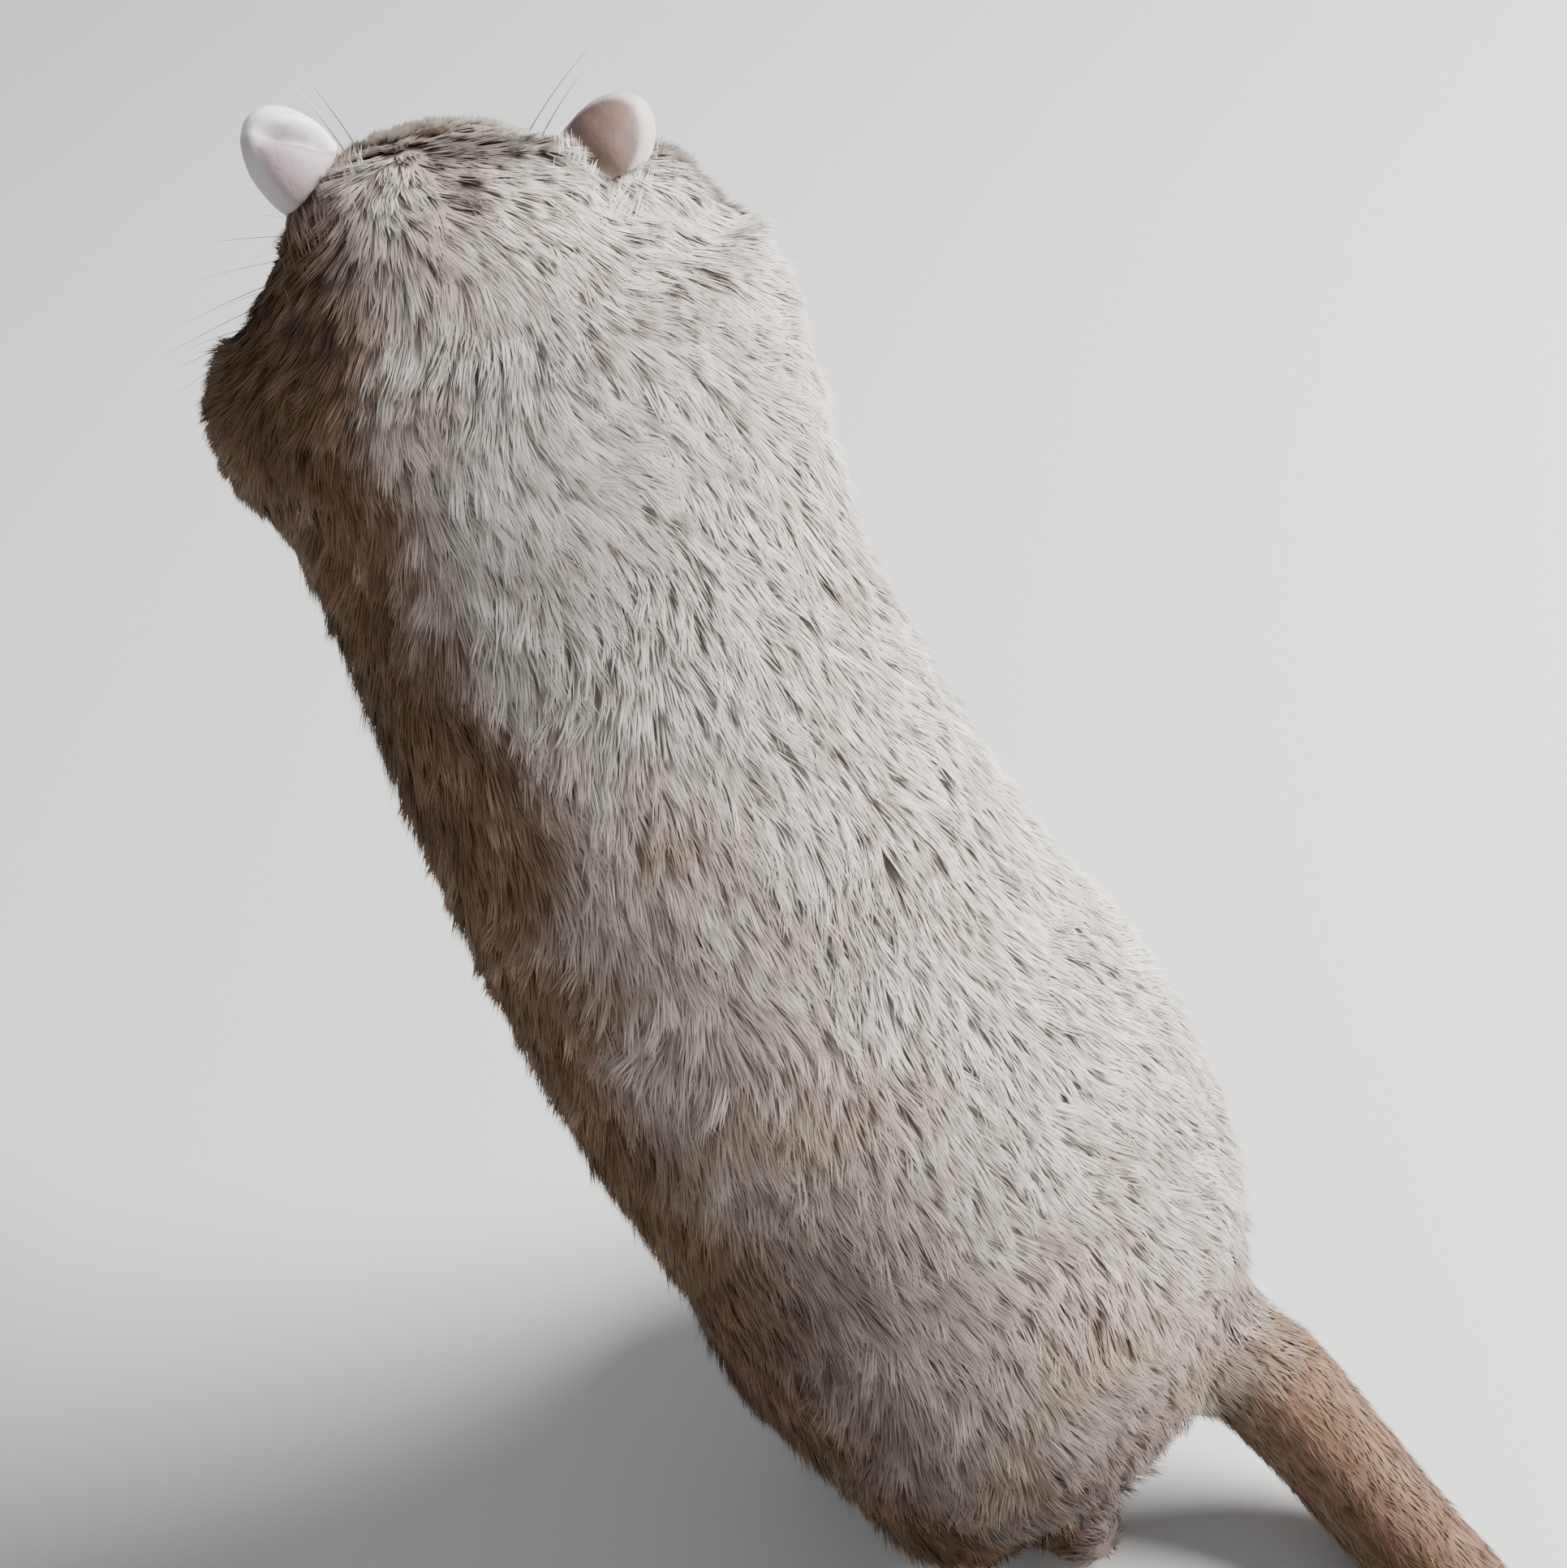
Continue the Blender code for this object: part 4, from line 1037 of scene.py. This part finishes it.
# One seed in each small cell of space, and the nearest seed of every root
def clumps(roots, spacing):
    cells = np.floor(roots / (spacing * MM)).astype(np.int64)
    order = draw.permutation(len(roots))
    _, first = np.unique(cells[order], axis=0, return_index=True)
    seeds = order[first]
    near = nearest_tree(roots[seeds])
    return seeds, np.array([near.find(place)[1] for place in roots])


# Place of each root on an unrolled body: along its own middle line, and round it
def unroll(roots, path):
    index = nearest_rows(roots, path)
    ahead = unit(np.gradient(path, axis=0))[index]
    side = np.array((0.0, -1.0, 0.25))
    reference = unit(side - ahead * (ahead @ side)[:, None])
    across = np.cross(ahead, reference)
    offsets = roots - path[index]
    angle = np.arctan2(np.sum(offsets * across, axis=1), np.sum(offsets * reference, axis=1))
    past = np.sum(offsets * ahead, axis=1)
    spacing = np.linalg.norm(np.gradient(path, axis=0), axis=1)
    along = np.cumsum(spacing)[index] + past
    low, high = along.min(), along.max()
    return 0.5 + angle / (2 * math.pi), (along - low) / (high - low)


# The bake map: each tuft is a small patch at its root's place on the unrolled skin
def map_tufts(coat, roots, paths, faces):
    across, along = unroll(roots, paths[0])
    if len(paths) == 2:
        other_across, other_along = unroll(roots, paths[1])
        far = [np.sum((roots - path[nearest_rows(roots, path)]) ** 2, axis=1) for path in paths]
        first = far[0] < far[1]
        across = np.where(first, across * 0.5, 0.5 + other_across * 0.5)
        along = np.where(first, along, other_along)
    place = np.stack([across, along], axis=1) * 0.98 + 0.01
    patches = (place[:, None, :] + PATCH_PLACES[None]).reshape(-1, 2)
    corners = np.ascontiguousarray(patches[faces.reshape(-1)], dtype=np.float32)
    coat.data.uv_layers.new(name="OFBake").data.foreach_set("uv", corners.reshape(-1))


# The upper sides of each hair take part of their shading direction from the skin, as soft fur
# does, and the under side keeps its own
def soften(coat, ups, across, ahead):
    coat.data.shade_smooth()
    upward = np.cross(across, ahead)
    side_ways = np.stack([-across, across, upward, upward], axis=1)
    mixed = side_ways * (1 - SOFTNESS) + ups[:, None, :] * SOFTNESS
    over = mixed[:, SPIKE[2:].reshape(-1)]
    under = np.broadcast_to(-upward[:, None, :], over.shape)
    corners = np.concatenate([under, over], axis=1).reshape(-1, 3)
    coat.data.normals_split_custom_set(unit(corners))


fur, fur_tree, fur_shader = new_material("fur_silver_ticked", 0.8, 0.0)
fur_tree.links.new(coat_node(fur_tree), fur_shader.inputs["Base Color"])


def grow_coat(
    name, keep, count, paths, lift=18, clump=0.4, spacing=CLUMP_SPACING, ticked=0.03, ways=None,
    stretch=1.0, brighter=0.0,
):
    at = scatter(keep, count)
    roots, ups = at(points), unit(at(normals))
    sizes = at(fields)
    pale, sand = at(light)[:, 0] + brighter, at(warm)[:, 0]
    ways = at(flow) if ways is None else np.broadcast_to(ways, (count, 3))
    ways = unit(ways - ups * np.sum(ways * ups, axis=1)[:, None])
    length = sizes[:, 1] * MM * draw.uniform(*LENGTHS, count) * stretch
    radius = sizes[:, 2] * MM * draw.uniform(*THICKNESSES, count)
    seeds, clump_of = clumps(roots, spacing)
    seed_of = seeds[clump_of]
    pale = (pale + CLUMP_COLOUR * pale[seed_of]) / (1 + CLUMP_COLOUR)
    sand = (sand + CLUMP_COLOUR * sand[seed_of]) / (1 + CLUMP_COLOUR)
    clump_light = draw.normal(0, 1, len(seeds))[clump_of]
    clump_lift = draw.normal(0, CLUMP_LIFT, len(seeds))[clump_of]
    strays = draw.normal(0, CLUMP_TURN, len(seeds))[clump_of] + draw.normal(0, STRAY_TURN, count)
    ways = unit(ways + np.cross(ups, ways) * strays[:, None])
    raised = (np.radians(lift) * draw.uniform(*LIFTS, count) + clump_lift)[:, None]

    start = roots - ups * (length * ROOT_DEPTH)[:, None]
    tip = start + (ways * np.cos(raised) + ups * np.sin(raised)) * length[:, None]
    tip += (tip[seed_of] - tip) * clump
    below = np.array([skin_tree.find(place)[1] for place in tip])
    height = np.sum((tip - points[below]) * normals[below], axis=1)
    tip += normals[below] * np.maximum(length * TIP_CLEAR - height, 0)[:, None]
    ahead = unit(tip - start)
    across = unit(np.cross(ahead, ups))
    wide = across * radius[:, None]
    high = np.cross(across, ahead) * (radius * FLATTENED)[:, None]
    corners = np.stack([start - wide, start + wide, start + high, tip], axis=1)
    corners[:, :, 2] = np.maximum(corners[:, :, 2], FLOOR_CLEAR)

    faces = (SPIKE[None] + (np.arange(count) * 4)[:, None, None]).reshape(-1, 3)
    coat = triangle_object(name, corners.reshape(-1, 3), faces)
    root_shade = pale + 0.05 * clump_light - ROOT_DARKER
    tip_shade = pale + 0.08 * clump_light + draw.normal(0, 0.05, count) + TIP_LIGHTER
    tip_shade -= TICK_DARKER * (draw.random(count) < ticked)
    shade = np.stack([root_shade, root_shade, root_shade, tip_shade], axis=1)
    set_field(coat, "light", np.clip(shade, 0, 1).reshape(-1))
    set_field(coat, "warm", np.clip(np.repeat(sand + draw.normal(0, 0.08, count), 4), 0, 1))
    map_tufts(coat, roots, paths, faces)
    coat.data.materials.append(fur)
    soften(coat, ups, across, ahead)
    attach(coat, "root")


# Middle lines that the skin is unrolled along
trunk_path = home_points(trunk_rows[:, :3])[::-1]
head_path = np.array([head_frame @ Vector((0, y, 0)) for y in np.linspace(0.027, -0.013, 30)])
FORE_PIVOT = Vector((1.4, 20.0, 0.0))
FORE_MIDDLE, HIND_MIDDLE = 1.3, 7.0
FORE_LINE = (
    (-12.3, 21.6, 95.2), (-11.4, 24.5, 88.0), (-10.6, 28.0, 82.6), (-8.6, 33.0, 80.6),
    (-6.0, 38.8, 77.8), (-5.0, 42.0, 74.8),
)
HIND_LINE = (
    (-11.0, -3.0, 34.0), (-11.4, 1.0, 19.0), (-10.0, -4.0, 12.5), (-6.2, -13.0, 8.2),
    (-3.6, -18.2, 5.4),
)
# The right hind foot stands a step ahead
STEP = {-1: 0.0, 1: 8.0}


def fore_rows(rows, side):
    from_pivot = [Vector((FORE_MIDDLE - x * side, y, z)) - FORE_PIVOT for x, y, z in rows]
    return [tuple(FORE_TURN @ place + FORE_PIVOT) for place in from_pivot]


def hind_rows(rows, side, step):
    return [(HIND_MIDDLE - x * side, y + step, z) for x, y, z in rows]


fore_paths = [home_points(smooth_path(fore_rows(FORE_LINE, side), 6)) for side in SIDES]
hind_paths = [
    home_points(smooth_path(hind_rows(HIND_LINE, side, STEP[side] * 0.5), 6)) for side in SIDES
]

SOLE_HEIGHT = 0.0008
BACK_FACING = 0.35
FACE_LINE = 7.0
clear_of_floor = points[:, 2] >= SOLE_HEIGHT
hairy = (1 - bare) * (1 - near_eye) * (1 - tail_share) * clear_of_floor
back_side = (normals[:, 1] < BACK_FACING).astype(float)
on = {name: hairy * area[name] for name in AREA_NAMES}
face_zone = (head_places[:, 1] > FACE_LINE) & area["head"]
grow_coat("coat_crown", on["head"] * ~face_zone, 40000, [head_path], lift=13)
grow_coat("coat_face", on["head"] * face_zone, 36000, [head_path], lift=13, clump=0.25, ticked=0.02)
grow_coat("coat_neck", on["neck"], 42000, [trunk_path])
grow_coat("coat_chest_back", on["chest"] * back_side, 42000, [trunk_path])
grow_coat("coat_chest_front", on["chest"] * (1 - back_side), 22000, [trunk_path])
grow_coat("coat_loin_back", on["loin"] * back_side, 42000, [trunk_path])
grow_coat("coat_loin_front", on["loin"] * (1 - back_side), 22000, [trunk_path])
grow_coat("coat_rump", on["rump"], 47000, [trunk_path])
grow_coat("coat_forelegs", on["foreleg"], 24000, fore_paths)
grow_coat("coat_hindlegs", on["hindleg"], 30000, hind_paths)
grow_coat("coat_forepaws", on["forepaw"], 2500, fore_paths, lift=14, clump=0.1)
grow_coat("coat_hindfeet", on["hindfoot"], 7500, hind_paths, lift=14, clump=0.1)

tail_hair = tail_share * clear_of_floor
grow_coat("coat_tail", tail_hair, 11000, [tail_path], lift=11, clump=0.1)
grow_coat(
    "coat_tail_tuft", tail_hair * step_between(0.62, 0.95, tail_along), 2600, [tail_path],
    lift=13, clump=0.35, spacing=2.2, stretch=1.2,
)
# Fur at the root of each ear, over its lower part, from the side of the head's middle
EAR_TUFTS = {-1: (0.3, 1800), 1: (0.0, 900)}
EAR_TUFT_REACH = 1.9
for side, (brighter, count) in EAR_TUFTS.items():
    ear_root = np.array(ear_frame(side) @ (Vector((1.7 * side, -0.9, -3.1)) * MM))
    close = np.exp(-np.sum((points - ear_root) ** 2, axis=1) / (EAR_TUFT_REACH * MM) ** 2)
    lean = np.array(ear_frame(side).to_3x3() @ Vector((-0.35 * side, -0.1, 1)))
    grow_coat(
        "coat_ear_" + SIDES[side], on["head"] * close, count, [head_path], lift=26, clump=0.35,
        ways=lean, stretch=0.8, brighter=brighter, ticked=0.0,
    )

# Claws. Small curved points of horn, one on each digit, set into the digit's end and bent down
# toward the ground.
CLAW_HORNS = ((0.2, 0.13, 0.09), (0.38, 0.28, 0.21), (0.6, 0.5, 0.42))
FOREPAW_END = ((-5.5, 40.6, 76.2), (-5.0, 41.8, 74.8))
HINDFOOT_END = ((-6.2, -3.8, 2.6), (-7.2, 1.4, 2.4))
# Each digit's place across the paw and its reach, the first from the inner side
FORE_DIGITS = ((-2.0, 2.6), (-0.75, 3.8), (0.75, 3.7), (2.0, 2.4))
HIND_DIGITS = ((-3.0, 2.6), (-1.8, 6.0), (-0.1, 6.9), (1.7, 6.3), (3.0, 2.9))
# How far the digits spread and drop, then the claw's length, radius and droop
FORE_CLAWS = (0.35, 3.6, 1.7, 0.34, 0.7)
HIND_CLAWS = (0.45, 0.9, 2.3, 0.5, 0.3)
CLAW_ROWS, CLAW_SIDES = 9, 10


def digit_claws(ends, digits, sizes, side):
    spread, drop, length, radius, droop = sizes
    before, end = (Vector(point) for point in ends)
    ahead = Vector((end.x - before.x, end.y - before.y, 0)).normalized()
    across = ahead.cross(Vector((0, 0, 1))) * side
    claws = []
    for offset, reach in digits:
        finish = end + ahead * reach + across * offset * (1 + spread)
        middle = end + ahead * reach * 0.45 + across * offset * (1 + spread / 2)
        finish.z -= drop
        middle.z -= drop * 0.3
        way = (finish - middle).normalized()
        rows = []
        for t in np.linspace(0, 1, CLAW_ROWS).tolist():
            sag = Vector((0, 0, -droop * length * t * t))
            place = finish + way * length * (t * 1.15 - 0.35) + sag
            place.z = max(place.z, radius * (1 - t) + 0.5)
            rows.append((*place, radius * (1 - t) ** 0.7 + 0.03))
        rows = np.array(rows)
        claws.append(tube_mesh(home_points(rows), rows[:, 3] * MM, CLAW_SIDES))
    return joined(claws)


claw_horn = mottled_material("claw_horn", 0.32, 900.0, 3.0, CLAW_HORNS)
for side, word in SIDES.items():
    fore_ends = fore_rows(FOREPAW_END, side)
    hind_ends = hind_rows(HINDFOOT_END, side, STEP[side])
    fore = digit_claws(fore_ends, FORE_DIGITS, FORE_CLAWS, side)
    hind = digit_claws(hind_ends, HIND_DIGITS, HIND_CLAWS, side)
    for name, mesh in (("claws_fore_", fore), ("claws_hind_", hind)):
        claws = triangle_object(name + word, *mesh)
        settle_piece(claws, name + word, claw_horn)

# Whiskers. Long stiff hairs, each rooted in the skin and tapered to a point, in rows on the lip
# pads, with a few over each eye and on each cheek.
WHISKER_ROWS = 12
WHISKER_THICK, WHISKER_TIP = 0.075, 0.008
WHISKER_ROOT = 0.4
WHISKER_TONES = (0.45, 1.0)
WHISKER_WARM = 0.25
SWEEP = (0.0, -0.22, -0.12)


def whisker(root, way, length):
    t = np.linspace(0, 1, WHISKER_ROWS)[:, None]
    path = root + way * length * t + np.array(SWEEP) * length * t ** 2
    path = np.vstack([root - way * WHISKER_ROOT, path])
    taper = WHISKER_THICK * (1 - t[:, 0]) ** 0.8 + WHISKER_TIP
    radii = np.concatenate([[WHISKER_THICK], taper]) * MM
    return tube_mesh(placed(path * MM, head_frame), radii, 3)


def whisker_rows(side):
    hairs = []
    for row in range(4):
        for column in range(4):
            root = np.array((side * (3.6 + 0.45 * column), 23.2 - 1.25 * column, -0.9 - 0.8 * row))
            way = np.array((side * (0.8 + 0.05 * column), 0.35 - 0.25 * column, 0.24 - 0.17 * row))
            length = 6.5 + 3.0 * column + draw.uniform(-0.8, 0.8)
            hairs.append((root, way, length))
    for k in range(3):
        root = np.array((side * (5.8 + 0.7 * k), 11.6 - 1.3 * k, 7.6 - 0.2 * k))
        hairs.append((root, np.array((side * 0.5, 0.1 - 0.2 * k, 0.8)), 7.5 - k))
    for k in range(2):
        root = np.array((side * (9.6 + 0.6 * k), 9.0 - 2.0 * k, -3.4))
        hairs.append((root, np.array((side * 0.9, -0.1, -0.1)), 8.0))
    return hairs


hairs, tones = [], []
for side in SIDES:
    for root, way, length in whisker_rows(side):
        way = way / np.linalg.norm(way)
        way = way + draw.normal(0, 0.05, 3)
        hairs.append(whisker(root, way, length))
        rows = np.repeat(np.linspace(*WHISKER_TONES, WHISKER_ROWS + 1), 3)
        tones.append(np.concatenate([rows, WHISKER_TONES]))
whiskers = triangle_object("whiskers", *joined(hairs))
set_field(whiskers, "light", np.concatenate(tones))
set_field(whiskers, "warm", np.full(len(whiskers.data.vertices), WHISKER_WARM))
settle_piece(whiskers, "whiskers", fur)
